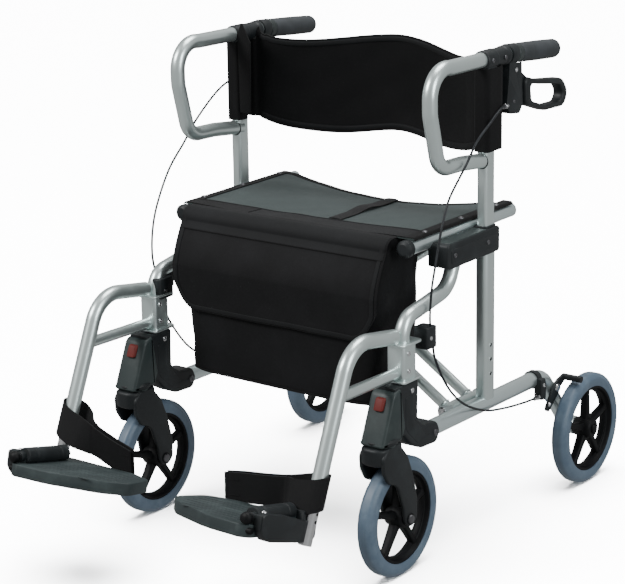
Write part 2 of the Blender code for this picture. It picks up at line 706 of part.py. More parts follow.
def brake_bracket(side, label):
    x = side * FRAME_X
    half = BRACKET_WIDTH / 2
    y, z = LEVER_PIVOT
    outline = [(y - 0.020, LOOP_HIGH_Z - 0.006, 0), (y + 0.018, LOOP_HIGH_Z - 0.008, 0),
               (y + 0.020, z - 0.030, 0), (y + 0.022, 0.714, 0), (y + 0.012, 0.700, 0),
               (y - 0.020, 0.704, 0), (y - 0.028, 0.722, 0), (y - 0.022, z - 0.010, 0)]
    bracket = prism(f"brake_bracket_{label}", rounded(outline, [0, 0, 0.010, 0.008, 0.006, 0.008,
                                                               0.006, 0.010], closed=True),
                    "X", x - half, x + half, "black_plastic")
    soften(bracket, 0.002, 1)
    collar = rod("collar", grip_axis(side, y - 0.020), grip_axis(side, GRIP_FRONT_Y - 0.001),
                 CLAMP_RADIUS + 0.001, None, 20)
    join(bracket, collar)
    cut(bracket, as_mesh(tube("tube bore", handle_loop_path(side), LEG_RADIUS + GAP, None)))
    cut(bracket, rod("grip clearance", grip_axis(side, GRIP_FRONT_Y - GAP),
                     grip_axis(side, GRIP_FRONT_Y + 0.05), GRIP_RADIUS * 1.02 + GAP, None, 24))
    slot = prism("lever slot", [(y - 0.012, z - 0.060, 0), (y + 0.040, z - 0.060, 0),
                                (y + 0.040, z + 0.0105, 0), (y - 0.012, z + 0.0105, 0)], "X",
                 x - 0.0043, x + 0.0043, None)
    cut(bracket, slot)
    cut(bracket, rod("pivot bore", (x - 0.02, y, z), (x + 0.02, y, z), 0.003 + FIT, None, 12))
    return bracket


def brake_lever(side, label):
    x = side * FRAME_X
    half = LEVER_WIDTH / 2
    y, z = LEVER_PIVOT
    outline = [(y + 0.026, z - 0.014, 0), (y + 0.065, z - 0.026, 0), (y + 0.150, z - 0.036, 0),
               (y + 0.170, z - 0.062, 0), (y + 0.156, z - 0.086, 0), (y + 0.092, z - 0.084, 0),
               (y + 0.030, z - 0.064, 0)]
    loop = prism(f"brake_lever_{label}",
                 rounded(outline, [0.008, 0.040, 0.018, 0.022, 0.018, 0.040, 0.008], closed=True),
                 "X", x - half, x + half, "black_plastic")
    tongue = [(y - 0.006, z + 0.004, 0), (y + 0.004, z + 0.007, 0), (y + 0.036, z - 0.016, 0),
              (y + 0.036, z - 0.050, 0), (y + 0.020, z - 0.046, 0), (y - 0.007, z - 0.004, 0)]
    join(loop, prism("tongue", rounded(tongue, [0.003, 0.003, 0, 0, 0.004, 0.003], closed=True),
                     "X", x - 0.0035, x + 0.0035, None))
    hole = [(y + 0.052, z - 0.032, 0), (y + 0.140, z - 0.044, 0), (y + 0.154, z - 0.062, 0),
            (y + 0.142, z - 0.076, 0), (y + 0.095, z - 0.074, 0), (y + 0.056, z - 0.064, 0)]
    cut(loop, prism("finger opening", rounded(hole, [0.008, 0.010, 0.010, 0.010, 0.020, 0.008],
                                              closed=True), "X", x - 0.03, x + 0.03, None))
    join(loop, rod("lever pin", (x - BRACKET_WIDTH / 2 + 0.0005, y, z),
                   (x + BRACKET_WIDTH / 2 - 0.0005, y, z), 0.003, None, 12))
    return loop


def cable_route(side):
    """Route from the lever bracket to the rear brake; the left cable bows further forward."""
    right = [(0.258, 0.2015, 0.716), (0.270, 0.184, 0.722), (0.2780, 0.158, 0.722),
             (0.2780, 0.126, 0.704), (0.2745, 0.092, 0.679), (0.273, 0.062, 0.646),
             (0.273, 0.014, 0.602), (0.273, -0.005, 0.567), (0.273, -0.014, 0.543),
             (0.273, -0.029, 0.495), (0.273, -0.038, 0.463), (0.273, -0.043, 0.415),
             (0.273, -0.036, 0.375), (0.273, -0.026, 0.341), (0.273, 0.007, 0.290),
             (0.2745, 0.052, 0.248), (0.2745, 0.117, 0.217), (0.2745, 0.178, 0.203),
             (0.2745, 0.245, 0.194), (0.2745, ANCHOR_Y - GAP, 0.190)]
    left = [(0.258, 0.2015, 0.716), (0.270, 0.184, 0.720), (0.2780, 0.156, 0.719),
            (0.2775, 0.110, 0.702), (0.2745, 0.050, 0.664), (0.273, 0.016, 0.633),
            (0.273, -0.028, 0.592), (0.273, -0.062, 0.538), (0.273, -0.077, 0.494),
            (0.273, -0.080, 0.450), (0.273, -0.072, 0.416), (0.273, -0.061, 0.386),
            (0.273, -0.051, 0.343), (0.273, -0.022, 0.298), (0.2745, 0.020, 0.256),
            (0.2745, 0.085, 0.220), (0.2745, 0.160, 0.204), (0.2745, 0.245, 0.194),
            (0.2745, ANCHOR_Y - GAP, 0.190)]
    return [(side * x, y, z) for x, y, z in (right if side > 0 else left)]


def brake_cable(side, label):
    points, length = smooth_route(cable_route(side), 0.023)
    print(f"brake_cable_{label} length {length:.3f} m")
    return tube(f"brake_cable_{label}", points, CABLE_RADIUS, "black_plastic", 8)


def cable_clip(side, label):
    near, far = side * (FRAME_X - 0.006), side * (FRAME_X + 0.0225)
    if side > 0:
        front, rear, low, high = -0.058, -0.028, 0.366, 0.406
    else:
        front, rear, low, high = -0.080, -0.050, 0.394, 0.424
    clip = box(f"cable_clip_{label}", (near, front, low), (far, rear, high), "black_plastic")
    soften(clip, 0.003, 1)
    join(clip, box("neck", (near, front + 0.004, high - 0.008),
                   (side * (FRAME_X + 0.006), front + 0.022, 0.434), None))
    cut(clip, as_mesh(tube("leg seat", leg_path(side), LEG_RADIUS + GAP, None)))
    points, _ = smooth_route(cable_route(side), 0.023)
    cut(clip, as_mesh(tube("cable bore", points, CABLE_RADIUS + GAP, None, 10)))
    return clip


def brake_arm(side, label):
    y, z = BRAKE_PIVOT
    reach = WHEEL_RADIUS + SHOE_GAP + SHOE_RADIUS
    shoe_y = REAR_AXLE_Y - reach * math.sin(SHOE_ANGLE)
    shoe_z = WHEEL_RADIUS + reach * math.cos(SHOE_ANGLE)
    inner = FRAME_X + RAIL_RADIUS + GAP
    low_y, low_z = BRAKE_ARM_LOW
    outline = [(low_y - 0.007, low_z - 0.001, 0), (low_y + 0.002, low_z - 0.008, 0),
               (y + 0.006, z - 0.010, 0), (y + 0.012, z, 0), (shoe_y + 0.005, shoe_z - 0.003, 0),
               (shoe_y - 0.002, shoe_z + 0.006, 0), (y + 0.004, z + 0.014, 0),
               (y - 0.010, z + 0.006, 0)]
    arm = prism(f"brake_arm_{label}", rounded(outline, [0.006, 0.006, 0.006, 0.008, 0.003, 0.003,
                                                        0.008, 0.008], closed=True),
                "X", min(side * inner, side * (inner + 0.005)),
                max(side * inner, side * (inner + 0.005)), "black_plastic")
    join(arm, rod("shoe", (side * (inner + 0.0005), shoe_y, shoe_z),
                  (side * (REAR_WHEEL_X + TYRE_WIDTH / 2), shoe_y, shoe_z), SHOE_RADIUS, None, 12))
    cut(arm, rod("pivot bore", (side * FRAME_X, y, z), (side * (FRAME_X + 0.05), y, z),
                 0.005 + FIT, None))
    return arm


def hanger_leg_point(height):
    """Centre of the hanger's straight leg at a height."""
    y, z = HANGER_KNEE
    return y - LEG_SLOPE * (z - height), height


def hanger_path(side):
    flat = [(HANGER_TOP_Y, HANGER_TOP_Z, 0), (*HANGER_KNEE, 0), (*hanger_leg_point(HANGER_END_Z), 0)]
    return in_plane(side * FRAME_X, rounded(flat, [0, HANGER_BEND, 0]))


def leg_direction():
    return Vector((0, -LEG_SLOPE, -1)).normalized()


def hanger(side, label):
    x = side * FRAME_X
    frame = as_mesh(tube(f"hanger_{label}", hanger_path(side), LEG_RADIUS, "silver"))
    strut = [Vector((x, *STRUT_FRONT)), Vector((x, *STRUT_REAR))]
    join(frame, as_mesh(tube("strut", strut, STRUT_RADIUS, None)))
    body = box("bracket body", (x - 0.017, LEG_Y - 0.020, BRACKET_LOW_Z + 0.001),
               (x + 0.017, LEG_Y + 0.018, BRACKET_HIGH_Z - 0.001), None)
    soften(body, 0.004)
    join(frame, body)
    for z in (BRACKET_LOW_Z, BRACKET_HIGH_Z - FLANGE_THICK):
        flange = box("flange", (x - 0.021, LEG_Y - 0.026, z),
                     (x + 0.021, LEG_Y + 0.030, z + FLANGE_THICK), None)
        join(frame, flange)
    latch = box("latch", (x - 0.007, LEG_Y + 0.016, BRACKET_LOW_Z + 0.003),
                (x + 0.007, LEG_Y + 0.027, BRACKET_HIGH_Z - 0.003), None)
    join(frame, latch)
    cut(frame, rod("leg bore", (x, LEG_Y, BRACKET_LOW_Z - 0.02),
                   (x, LEG_Y, BRACKET_HIGH_Z + 0.003), LEG_RADIUS + GAP, None, 24))
    end = Vector((x, *hanger_leg_point(HANGER_END_Z)))
    top = end - leg_direction() * (INSERTION + 0.030)
    cut(frame, rod("extension bore", end + leg_direction() * 0.01, top,
                   EXTENSION_RADIUS + FIT, None, 16))
    return frame


def extension_tube(side, label):
    x = side * FRAME_X
    end = Vector((x, *hanger_leg_point(HANGER_END_Z)))
    top = end - leg_direction() * INSERTION
    low = Vector((x, *hanger_leg_point(TUBE_END_Z)))
    return rod(f"extension_tube_{label}", top, low, EXTENSION_RADIUS, "steel", 16)


def tilted(shape):
    """Lays a shape that was built flat, forward along -Y, onto the footplate's tilt."""
    turn = Matrix.Translation((0, *PLATE_ORIGIN)) @ Matrix.Rotation(-PLATE_TILT, 4, "X")
    bpy.context.view_layer.update()
    shape.matrix_world = turn @ shape.matrix_world
    return shape


def footplate_bracket(side, label):
    """Side block of the footplate, clamped on the extension tube, with the barrel's ears."""
    x = side * FRAME_X
    outline = [(0.006, 0.010, 0), (0.006, -0.018, 0), (-0.030, -0.022, 0), (-0.120, -0.014, 0),
               (-0.131, 0.002, 0), (-0.131, 0.026, 0), (-0.122, 0.028, 0), (-0.070, 0.022, 0),
               (-0.028, 0.012, 0)]
    low, high = x - side * 0.012, x + side * 0.004
    block = prism(f"footplate_bracket_{label}",
                  rounded(outline, [0.004, 0.006, 0.030, 0.020, 0.008, 0.004, 0.004, 0.030,
                                    0.010], closed=True), "X", min(low, high), max(low, high), "dark_plastic")
    for y in (-0.1325, -0.0260):
        ear = rod("barrel ear", (side * BARREL_X, y, BARREL_HEIGHT),
                  (side * BARREL_X, y + 0.008, BARREL_HEIGHT), BARREL_RADIUS, None, 12)
        web = box("ear web", (side * BARREL_X, y, BARREL_HEIGHT - 0.007),
                  (x, y + 0.008, BARREL_HEIGHT + 0.006), None)
        root = box("ear root", (x - side * 0.012, y, 0.004),
                   (x, y + 0.008, BARREL_HEIGHT + 0.006), None)
        join(block, root)
        join(block, web)
        join(block, ear)
    tilted(block)
    for change in block.modifiers:
        if change.type == "BOOLEAN":
            tilted(change.object)
    cut(block, tilted(rod("pin bore", (side * BARREL_X, 0.02, BARREL_HEIGHT),
                          (side * BARREL_X, -0.16, BARREL_HEIGHT), PIN_RADIUS + FIT, None, 12)))
    end = Vector((x, *hanger_leg_point(HANGER_END_Z)))
    low_end = Vector((x, *hanger_leg_point(TUBE_END_Z)))
    cut(block, rod("tube socket", end, low_end + leg_direction() * GAP,
                   EXTENSION_RADIUS + GAP, None, 20))
    return block


def footplate_pivot(side, label):
    """Hinge pin of the footplate with a ball knob at its front end."""
    front, rear, knob = 0.143, -0.006, 0.0085
    centre = (side * BARREL_X, 0, BARREL_HEIGHT)
    profile = [(0, front + knob * 1.6), (knob * 0.6, front + knob * 1.4),
               (knob, front + knob * 0.7), (knob, front), (knob * 0.6, front - knob * 0.5),
               (PIN_RADIUS, front - knob * 0.5), (PIN_RADIUS, rear), (0, rear)]
    return tilted(turned(f"footplate_pivot_{label}", profile, centre, (0, -1, 0),
                         "black_plastic", 10))


def footplate(side, label):
    inner = BARREL_X - PLATE_REACH
    edge = BARREL_X + BARREL_RADIUS
    outline = [(side * edge, 0.004, 0), (side * edge, -PLATE_LENGTH, 0),
               (side * (edge - 0.080), -PLATE_LENGTH + 0.006, 0),
               (side * (inner + 0.030), -PLATE_LENGTH + 0.042, 0),
               (side * inner, -0.076, 0), (side * (inner + 0.012), -0.014, 0),
               (side * (inner + 0.060), 0.004, 0)]
    radii = [0.006, 0.020, 0.060, 0.030, 0.020, 0.020, 0.020]
    plate = prism(f"footplate_{label}", rounded(outline, radii, closed=True), "Z",
                  -PLATE_THICK / 2, PLATE_THICK / 2, "dark_plastic")
    soften(plate, 0.004)
    barrel = rod("barrel", (side * BARREL_X, -0.0265, BARREL_HEIGHT),
                 (side * BARREL_X, -0.1235, BARREL_HEIGHT), BARREL_RADIUS, None, 16)
    web = box("barrel web", (side * (BARREL_X - 0.0078), -0.1235, 0.004),
              (side * (BARREL_X + 0.0078), -0.0265, BARREL_HEIGHT), None)
    join(plate, web)
    join(plate, barrel)
    tilted(plate)
    tilted(web)
    tilted(barrel)
    cut(plate, tilted(rod("pin bore", (side * BARREL_X, 0.02, BARREL_HEIGHT),
                          (side * BARREL_X, -0.16, BARREL_HEIGHT), PIN_RADIUS + FIT, None, 14)))
    return plate


def heel_strap(side, label):
    """Webbing loop round the hanger leg, its two layers running in to the footplate."""
    middle_z = STRAP_MIDDLE_Z[label]
    end_x, fall = STRAP_END_X[label], STRAP_FALL[label]
    centre_y = hanger_leg_point(middle_z)[0]
    wrap = LEG_RADIUS + STRAP_THICK / 2 + 0.0020
    route = [(end_x, -0.332), (0.160, -0.338), (0.225, centre_y - 0.020),
             (FRAME_X, centre_y - wrap - 0.006), (FRAME_X + wrap, centre_y),
             (FRAME_X, centre_y + wrap + 0.006), (0.225, centre_y + 0.014), (0.160, -0.319),
             (end_x, -0.322)]
    points, _ = smooth_route([(side * x, y, 0) for x, y in route], 0.015)

    def surface(u, v):
        point = points[round(u * (len(points) - 1))]
        height = (v - 0.5) * STRAP_WIDTH
        drop = fall * (FRAME_X - abs(point.x)) / (FRAME_X - end_x)
        lean = -LEG_SLOPE * -height if abs(point.x) > 0.225 else 0.0
        return Vector((point.x, point.y + lean * 1.0, middle_z + height - drop))

    return sheet(f"heel_strap_{label}", surface, len(points) - 1, 1, STRAP_THICK, "black_fabric")


def brace_member(name, side, ladder):
    """Two tubes from the lower pivot sleeve on one side up to the seat rail on the other."""
    low = Vector((side * PIVOT_X, 0, RAIL_Z))
    high = Vector((-side * PIVOT_X, 0, SEAT_RAIL_Z))
    member = as_mesh(tube(name, seat_rail_path(-side), LEG_RADIUS, "silver", 12))
    cap_y = SEAT_RAIL_FRONT_Y - CAP_LENGTH / 2
    join(member, rod("rail cap", (high.x, cap_y, high.z), (high.x, cap_y + CAP_LENGTH, high.z),
                     CAP_RADIUS, None, 12))
    join(member, rod("sleeve", (low.x, SLEEVE_FRONT_Y, low.z),
                     (low.x, SLEEVE_FRONT_Y + SLEEVE_LENGTH, low.z), SLEEVE_RADIUS, None, 20))
    for y in ladder:
        offset = Vector((0, y, 0))
        join(member, rod("brace tube", low + offset, high + offset, STRUT_RADIUS, None, 14))
    cut(member, rod("pivot bore", (low.x, 0, low.z), (low.x, 0.3, low.z),
                    PIVOT_ROD_RADIUS + FIT, None))
    centre_z = (RAIL_Z + SEAT_RAIL_Z) / 2
    cut(member, rod("bolt bore", (0, 0, centre_z), (0, 0.3, centre_z), BOLT_RADIUS + FIT, None))
    return member


def brace_bolt():
    centre_z = (RAIL_Z + SEAT_RAIL_Z) / 2
    front = LADDER_A[0] - STRUT_RADIUS - GAP
    rear = LADDER_A[1] + STRUT_RADIUS + GAP
    collar = BOLT_RADIUS * 1.8
    profile = [(0, rear + 0.005), (collar, rear + 0.005), (collar, rear), (BOLT_RADIUS, rear)]
    walls = [(LADDER_B[1] + STRUT_RADIUS, LADDER_A[1] - STRUT_RADIUS),
             (LADDER_B[0] + STRUT_RADIUS, LADDER_B[1] - STRUT_RADIUS),
             (LADDER_A[0] + STRUT_RADIUS, LADDER_B[0] - STRUT_RADIUS)]
    for low, high in walls:
        profile += [(BOLT_RADIUS, high - GAP), (collar, high - GAP), (collar, low + GAP),
                    (BOLT_RADIUS, low + GAP)]
    profile += [(BOLT_RADIUS, front), (collar, front), (collar, front - 0.005),
                (0, front - 0.005)]
    return turned("brace_bolt", profile, (0, 0, centre_z), (0, 1, 0), "steel", 8)


def seat_height(x, y=SEAT_FRONT_Y):
    """Middle of the sling, level over the rails, taut in front and sagging behind."""
    top = SEAT_RAIL_Z + LEG_RADIUS + FABRIC_THICK / 2 + GAP
    inside = max(0.0, 1 - (abs(x) / (PIVOT_X - 0.024)) ** 2)
    back = (y - SEAT_FRONT_Y) / (SEAT_REAR_Y - SEAT_FRONT_Y)
    return top - (SEAT_SAG_FRONT + (SEAT_SAG - SEAT_SAG_FRONT) * back) * inside


def seat_sling():
    half = PIVOT_X + SEAT_OVERHANG

    def surface(u, v):
        x, y = (2 * u - 1) * half, SEAT_FRONT_Y + v * (SEAT_REAR_Y - SEAT_FRONT_Y)
        return Vector((x, y, seat_height(x, y)))

    return sheet("seat_sling", surface, 18, 1, FABRIC_THICK, "mesh_fabric")


def lift_strap():
    """Webbing pull across the middle of the seat, raised a little in a grab loop."""
    half_width, length = 0.012, SEAT_REAR_Y - 0.006 - LIFT_STRAP_FRONT_Y

    def surface(u, v):
        y = LIFT_STRAP_FRONT_Y + u * length
        hump = LIFT_STRAP_RISE * math.sin(math.pi * min(1.0, max(0.0, (u - 0.25) / 0.5))) ** 2
        z = seat_height(0.0, y) + FABRIC_THICK / 2 + STRAP_THICK / 2 + 2 * GAP + hump
        return Vector(((2 * v - 1) * half_width, y, z))

    return sheet("lift_strap", surface, 14, 1, STRAP_THICK, "black_fabric")


def bag_body():
    width = BAG_HALF_WIDTH
    floor = [(BAG_TAPER - width, BAG_LOW_Z, 0), (0, BAG_LOW_Z - 0.002, 0),
             (width - BAG_TAPER, BAG_LOW_Z, 0)]
    under = FABRIC_THICK / 2 + 0.0012
    brim = [(x, seat_height(x, BAG_REAR_Y) - under, 0)
            for x in (width, width / 2, 0, -width / 2, -width)]
    bag = prism("bag_body", rounded(floor + brim, [0.008, 0, 0.008] + [0] * 5, closed=True),
                "Y", BAG_FRONT_Y, BAG_REAR_Y, "black_fabric")
    top = seat_height(PIVOT_X)
    slant = [(BAG_FRONT_Y - 0.002, BAG_KNEE_Z, 0),
             (BAG_TOP_Y - 0.002, top - FLAP_TURN - 0.006, 0),
             (BAG_TOP_Y + FLAP_TURN - 0.004, top - 0.001, 0),
             (BAG_TOP_Y + FLAP_TURN - 0.004, top + 0.010, 0),
             (BAG_FRONT_Y - 0.002, top + 0.010, 0)]
    return cut(bag, prism("flap clearance", slant, "X", -width - 0.01, width + 0.01, None))


def flap_profile(v, lower):
    """Side view of the flap: flat, round the seat's front edge, slanting, then hanging."""
    top = seat_height(PIVOT_X)
    front = BAG_TOP_Y - FLAP_THICK / 2 - 0.0006
    low_front = BAG_FRONT_Y - FLAP_THICK / 2 - 0.0020
    flat, turned_over, upright = 0.1, 0.4, 0.6
    if v < flat:
        return FLAP_START_Y + (front + FLAP_TURN - FLAP_START_Y) * v / flat, top
    if v < turned_over:
        angle = (v - flat) / (turned_over - flat) * math.pi / 2
        return (front + FLAP_TURN * (1 - math.sin(angle)),
                top - FLAP_TURN * (1 - math.cos(angle)))
    knee = BAG_KNEE_Z + 0.004
    if v < upright:
        share = (v - turned_over) / (upright - turned_over)
        return (front + share * (low_front - front),
                top - FLAP_TURN - share * (top - FLAP_TURN - knee))
    share = (v - upright) / (1 - upright)
    return low_front, knee - share * (knee - lower)


def bag_flap():
    """Flap that comes over the front edge of the seat and hangs in front of the bag."""

    def surface(u, v):
        edge = abs(2 * u - 1)
        lower = FLAP_LOW_Z + 0.045 * max(0.0, (edge - 0.80) / 0.20) ** 2
        y, z = flap_profile(v, lower)
        swell = math.sin(math.pi * min(1.0, max(0.0, v - 0.4) / 0.55)) ** 2 * (1 - edge ** 4)
        return Vector(((2 * u - 1) * FLAP_HALF_WIDTH, y - FLAP_BULGE * swell, z))

    return sheet("bag_flap", surface, 10, 10, FLAP_THICK, "black_fabric")


def band_line(x):
    """Plan line of the backrest, bowed back between the posts."""
    share = min(1.0, abs(x) / FRAME_X)
    start = POST_Y + POST_DEPTH / 2 + BAND_THICK / 2 + 0.0005
    return start + (BAND_BULGE - POST_DEPTH / 2) * math.cos(math.pi / 2 * share) ** 1.3


def backrest_band():
    """Band across the back whose ends are sewn into sleeves round the posts."""
    near_x = POST_WIDTH / 2 + BAND_THICK / 2 + 0.0005
    near_y = POST_DEPTH / 2 + BAND_THICK / 2 + 0.0005
    corner = 0.005
    sleeve = [(-near_x, 0.004), (-near_x, corner - near_y), (corner - near_x, -near_y),
              (near_x - corner, -near_y), (near_x, corner - near_y), (near_x, near_y - corner),
              (near_x - corner, near_y), (corner - near_x, near_y)]
    right = [(FRAME_X + x, POST_Y + y) for x, y in sleeve]
    right += [(x, band_line(x)) for x in (0.225, 0.208, 0.186, 0.158, 0.126, 0.090, 0.050, 0.0)]
    points = [Vector((x, y, 0)) for x, y in right + [(-x, y) for x, y in reversed(right[:-1])]]

    def surface(u, v):
        point = points[round(u * (len(points) - 1))]
        inward = max(0.0, 1 - abs(point.x) / (FRAME_X - 0.024))
        low = BAND_LOW_Z - BAND_DROP * min(1.0, inward / 0.45)
        high = BAND_HIGH_Z + BAND_RISE * inward
        return Vector((point.x, point.y, low + v * (high - low)))

    return sheet("backrest_band", surface, len(points) - 1, 2, BAND_THICK, "black_fabric")


def build_side(label, side):
    x = side * FRAME_X
    frame = [lower_rail(side, label), lower_post(side, label), seat_housing(side, label),
             front_leg(side, label), caster_housing(side, label), cable_clip(side, label),
             brake_cable(side, label)]
    rear = (side * REAR_WHEEL_X, REAR_AXLE_Y, WHEEL_RADIUS)
    frame.append(axle(f"rear_axle_{label}", (0, REAR_AXLE_Y, WHEEL_RADIUS), side,
                      FRAME_X - RAIL_RADIUS, REAR_WHEEL_X + REAR_HUB / 2))
    pivot(f"side_frame_{label}_pivot", (side * PIVOT_X, 0, RAIL_Z), frame)
    handle = [handle_frame(side, label), handle_clamp(side, label), push_grip(side, label),
              brake_bracket(side, label)]
    pivot(f"handle_{label}_pivot", (x, POST_Y, LOOP_HIGH_Z), handle)
    pivot(f"brake_lever_{label}_pivot", (x, *LEVER_PIVOT), [brake_lever(side, label)])
    pivot(f"brake_arm_{label}_pivot", (x, *BRAKE_PIVOT), [brake_arm(side, label)])
    pivot(f"rear_wheel_{label}_pivot", rear, wheel(f"rear_wheel_{label}", rear, REAR_HUB))
    front = fork_centre(side)
    bolt = axle(f"front_axle_{label}", (x, front[1], front[2]), side, -FORK_WIDTH / 2,
                FORK_WIDTH / 2)
    pivot(f"caster_{label}_pivot", (x, STEM_Y, NECK_Z), [caster_fork(side, label), bolt])
    pivot(f"front_wheel_{label}_pivot", front, wheel(f"front_wheel_{label}", front, FRONT_HUB))
    pivot(f"hanger_{label}_pivot", (x, LEG_Y, BRACKET_LOW_Z), [hanger(side, label)])
    pivot(f"extension_{label}_pivot", (x, *hanger_leg_point(HANGER_END_Z)),
          [extension_tube(side, label), footplate_bracket(side, label),
           footplate_pivot(side, label), heel_strap(side, label)])
    barrel = Vector((side * BARREL_X, *PLATE_ORIGIN))
    barrel += Matrix.Rotation(-PLATE_TILT, 3, "X") @ Vector((0, 0, BARREL_HEIGHT))
    pivot(f"footplate_{label}_pivot", barrel, [footplate(side, label)])


def build_middle():
    pivot("brace_a_pivot", (PIVOT_X, 0, RAIL_Z),
          [brace_member("cross_brace_a", 1.0, LADDER_A), brace_bolt()])
    pivot("brace_b_pivot", (0, 0, (RAIL_Z + SEAT_RAIL_Z) / 2),
          [brace_member("cross_brace_b", -1.0, LADDER_B)])
    pivot("seat_pivot", (PIVOT_X, 0, SEAT_RAIL_Z), [seat_sling(), lift_strap(), bag_body()])
    pivot("bag_flap_pivot", (0, FLAP_START_Y, seat_height(PIVOT_X)), [bag_flap()])
    pivot("backrest_pivot", (FRAME_X, POST_Y, BAND_LOW_Z), [backrest_band()])


def centre_layout():
    for shape in list(PARTS.objects) + list(CUTTERS.objects):
        if shape.parent is None:
            shape.location.y -= ORIGIN_Y


for side_label, side_sign in SIDES.items():
    build_side(side_label, side_sign)
build_middle()
centre_layout()
bpy.context.view_layer.update()
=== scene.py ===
import math
import bmesh
import bpy
import numpy as np
from mathutils import Matrix, Vector


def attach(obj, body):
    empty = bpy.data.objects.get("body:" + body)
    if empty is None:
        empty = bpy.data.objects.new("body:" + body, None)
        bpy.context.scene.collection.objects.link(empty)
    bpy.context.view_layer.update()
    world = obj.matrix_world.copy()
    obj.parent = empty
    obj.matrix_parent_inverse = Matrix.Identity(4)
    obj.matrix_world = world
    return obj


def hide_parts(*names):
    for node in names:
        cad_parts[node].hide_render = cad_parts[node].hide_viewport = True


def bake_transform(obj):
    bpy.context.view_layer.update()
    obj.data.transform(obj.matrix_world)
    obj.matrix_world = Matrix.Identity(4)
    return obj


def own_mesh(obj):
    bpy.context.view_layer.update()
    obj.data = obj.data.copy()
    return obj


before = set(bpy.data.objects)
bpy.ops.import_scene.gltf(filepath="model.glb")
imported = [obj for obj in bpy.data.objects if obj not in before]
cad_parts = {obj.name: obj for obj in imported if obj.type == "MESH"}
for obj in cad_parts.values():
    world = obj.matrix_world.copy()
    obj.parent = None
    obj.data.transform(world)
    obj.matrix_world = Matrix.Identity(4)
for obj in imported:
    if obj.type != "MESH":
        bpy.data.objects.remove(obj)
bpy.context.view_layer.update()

# Looks of a folding rollator with a sling seat, a bag, push grips and swing-away footrests.
# Metres, +Z up, front towards -Y. Lengths along Y are laid out from a line near the middle of
# the base, and newPiece moves them onto the frame's origin.

layout = dict(originY=0.017, frameX=0.256, pivotX=0.228, railZ=0.221, seatRailZ=0.525,
              casterY=-0.158)
sideSigns = {"right": 1.0, "left": -1.0}


# shader expressions

class Wire:
    # one socket of a node tree; each operator adds the Math node that it names

    def __init__(self, paint, socket):
        self.paint = paint
        self.socket = socket

    def maths(self, operation, *values):
        # one Math node fed with wires or plain numbers
        return self.paint.add("ShaderNodeMath", dict(operation=operation), values)

    def __add__(self, other):
        return self.maths("ADD", self, other)

    def __sub__(self, other):
        return self.maths("SUBTRACT", self, other)

    def __rsub__(self, other):
        return self.maths("SUBTRACT", other, self)

    def __mul__(self, other):
        return self.maths("MULTIPLY", self, other)

    __radd__, __rmul__ = __add__, __mul__

    def sine(self):
        return self.maths("SINE", self)

    def size(self):
        return self.maths("ABSOLUTE", self)

    def between(self, low, high):
        # 0 below low, 1 above high, and a smooth step in the middle
        return self.paint.add("ShaderNodeMapRange", dict(interpolation_type="SMOOTHSTEP"),
                              [self, low, high, 0.0, 1.0])


class Paint:
    # a material with one Principled shader, and the nodes that feed it

    def __init__(self, name):
        self.material = bpy.data.materials.new(name)
        self.material.use_nodes = True
        self.tree = self.material.node_tree
        self.tree.nodes.clear()
        self.shader = self.tree.nodes.new("ShaderNodeBsdfPrincipled")
        output = self.tree.nodes.new("ShaderNodeOutputMaterial")
        self.tree.links.new(self.shader.outputs["BSDF"], output.inputs["Surface"])

    def feed(self, socket, value):
        # a wire is linked to the socket; anything else becomes its plain value
        if isinstance(value, Wire):
            self.tree.links.new(value.socket, socket)
        else:
            socket.default_value = value

    def add(self, kind, settings=None, values=None, output=0):
        # a node with its settings and its inputs, as the wire of one of its outputs
        node = self.tree.nodes.new(kind)
        for key, value in (settings or {}).items():
            setattr(node, key, value)
        inputs = values.items() if isinstance(values, dict) else enumerate(values or [])
        for key, value in inputs:
            self.feed(node.inputs[key], value)
        return Wire(self, node.outputs[output])

    def place(self):
        return self.add("ShaderNodeTexCoord", output="Object")

    def threads(self, across, along):
        # two families of threads over the cloth coordinates, as sines of their own pitch
        node = self.add("ShaderNodeSeparateXYZ", None,
                        [self.add("ShaderNodeUVMap", dict(uv_map="cloth"))]).socket.node
        u, v = (Wire(self, node.outputs[axis]) for axis in "XY")
        return (u * (math.pi / across)).sine(), (v * (math.pi / along)).sine()

    def noise(self, vector, scale, detail, roughness=0.55):
        return self.add("ShaderNodeTexNoise", None,
                        {"Vector": vector, "Scale": scale, "Detail": detail,
                         "Roughness": roughness}, "Fac")

    def cells(self, vector, scale):
        return self.add("ShaderNodeTexVoronoi", None, {"Vector": vector, "Scale": scale},
                        "Distance")

    def stretch(self, vector, scale):
        return self.add("ShaderNodeMapping", None, {"Vector": vector, "Scale": scale})

    def mix(self, share, first, second):
        return self.add("ShaderNodeMix", dict(data_type="RGBA"),
                        {0: share, 6: first, 7: second}, 2)

    def bump(self, height, strength, distance, normal=None):
        # a normal tilted by the slope of a height, over another normal when there is one
        values = {"Strength": strength, "Distance": distance, "Height": height}
        if normal is not None:
            values["Normal"] = normal
        return self.add("ShaderNodeBump", None, values)

    def finish(self, **values):
        # feeds the shader's inputs under short names, and gives the material
        names = dict(colour="Base Color", roughness="Roughness", metallic="Metallic",
                     normal="Normal", sheen="Sheen Weight", sheenRoughness="Sheen Roughness",
                     specular="Specular IOR Level")
        for key, value in values.items():
            self.feed(self.shader.inputs[names[key]], value)
        return self.material


def tone(red, green, blue):
    # a colour as the eye names it, 0 to 255, turned into a linear one
    share = np.array([red, green, blue]) / 255
    linear = np.where(share <= 0.04045, share / 12.92, ((share + 0.055) / 1.055) ** 2.4)
    return (*[float(value) for value in linear], 1.0)


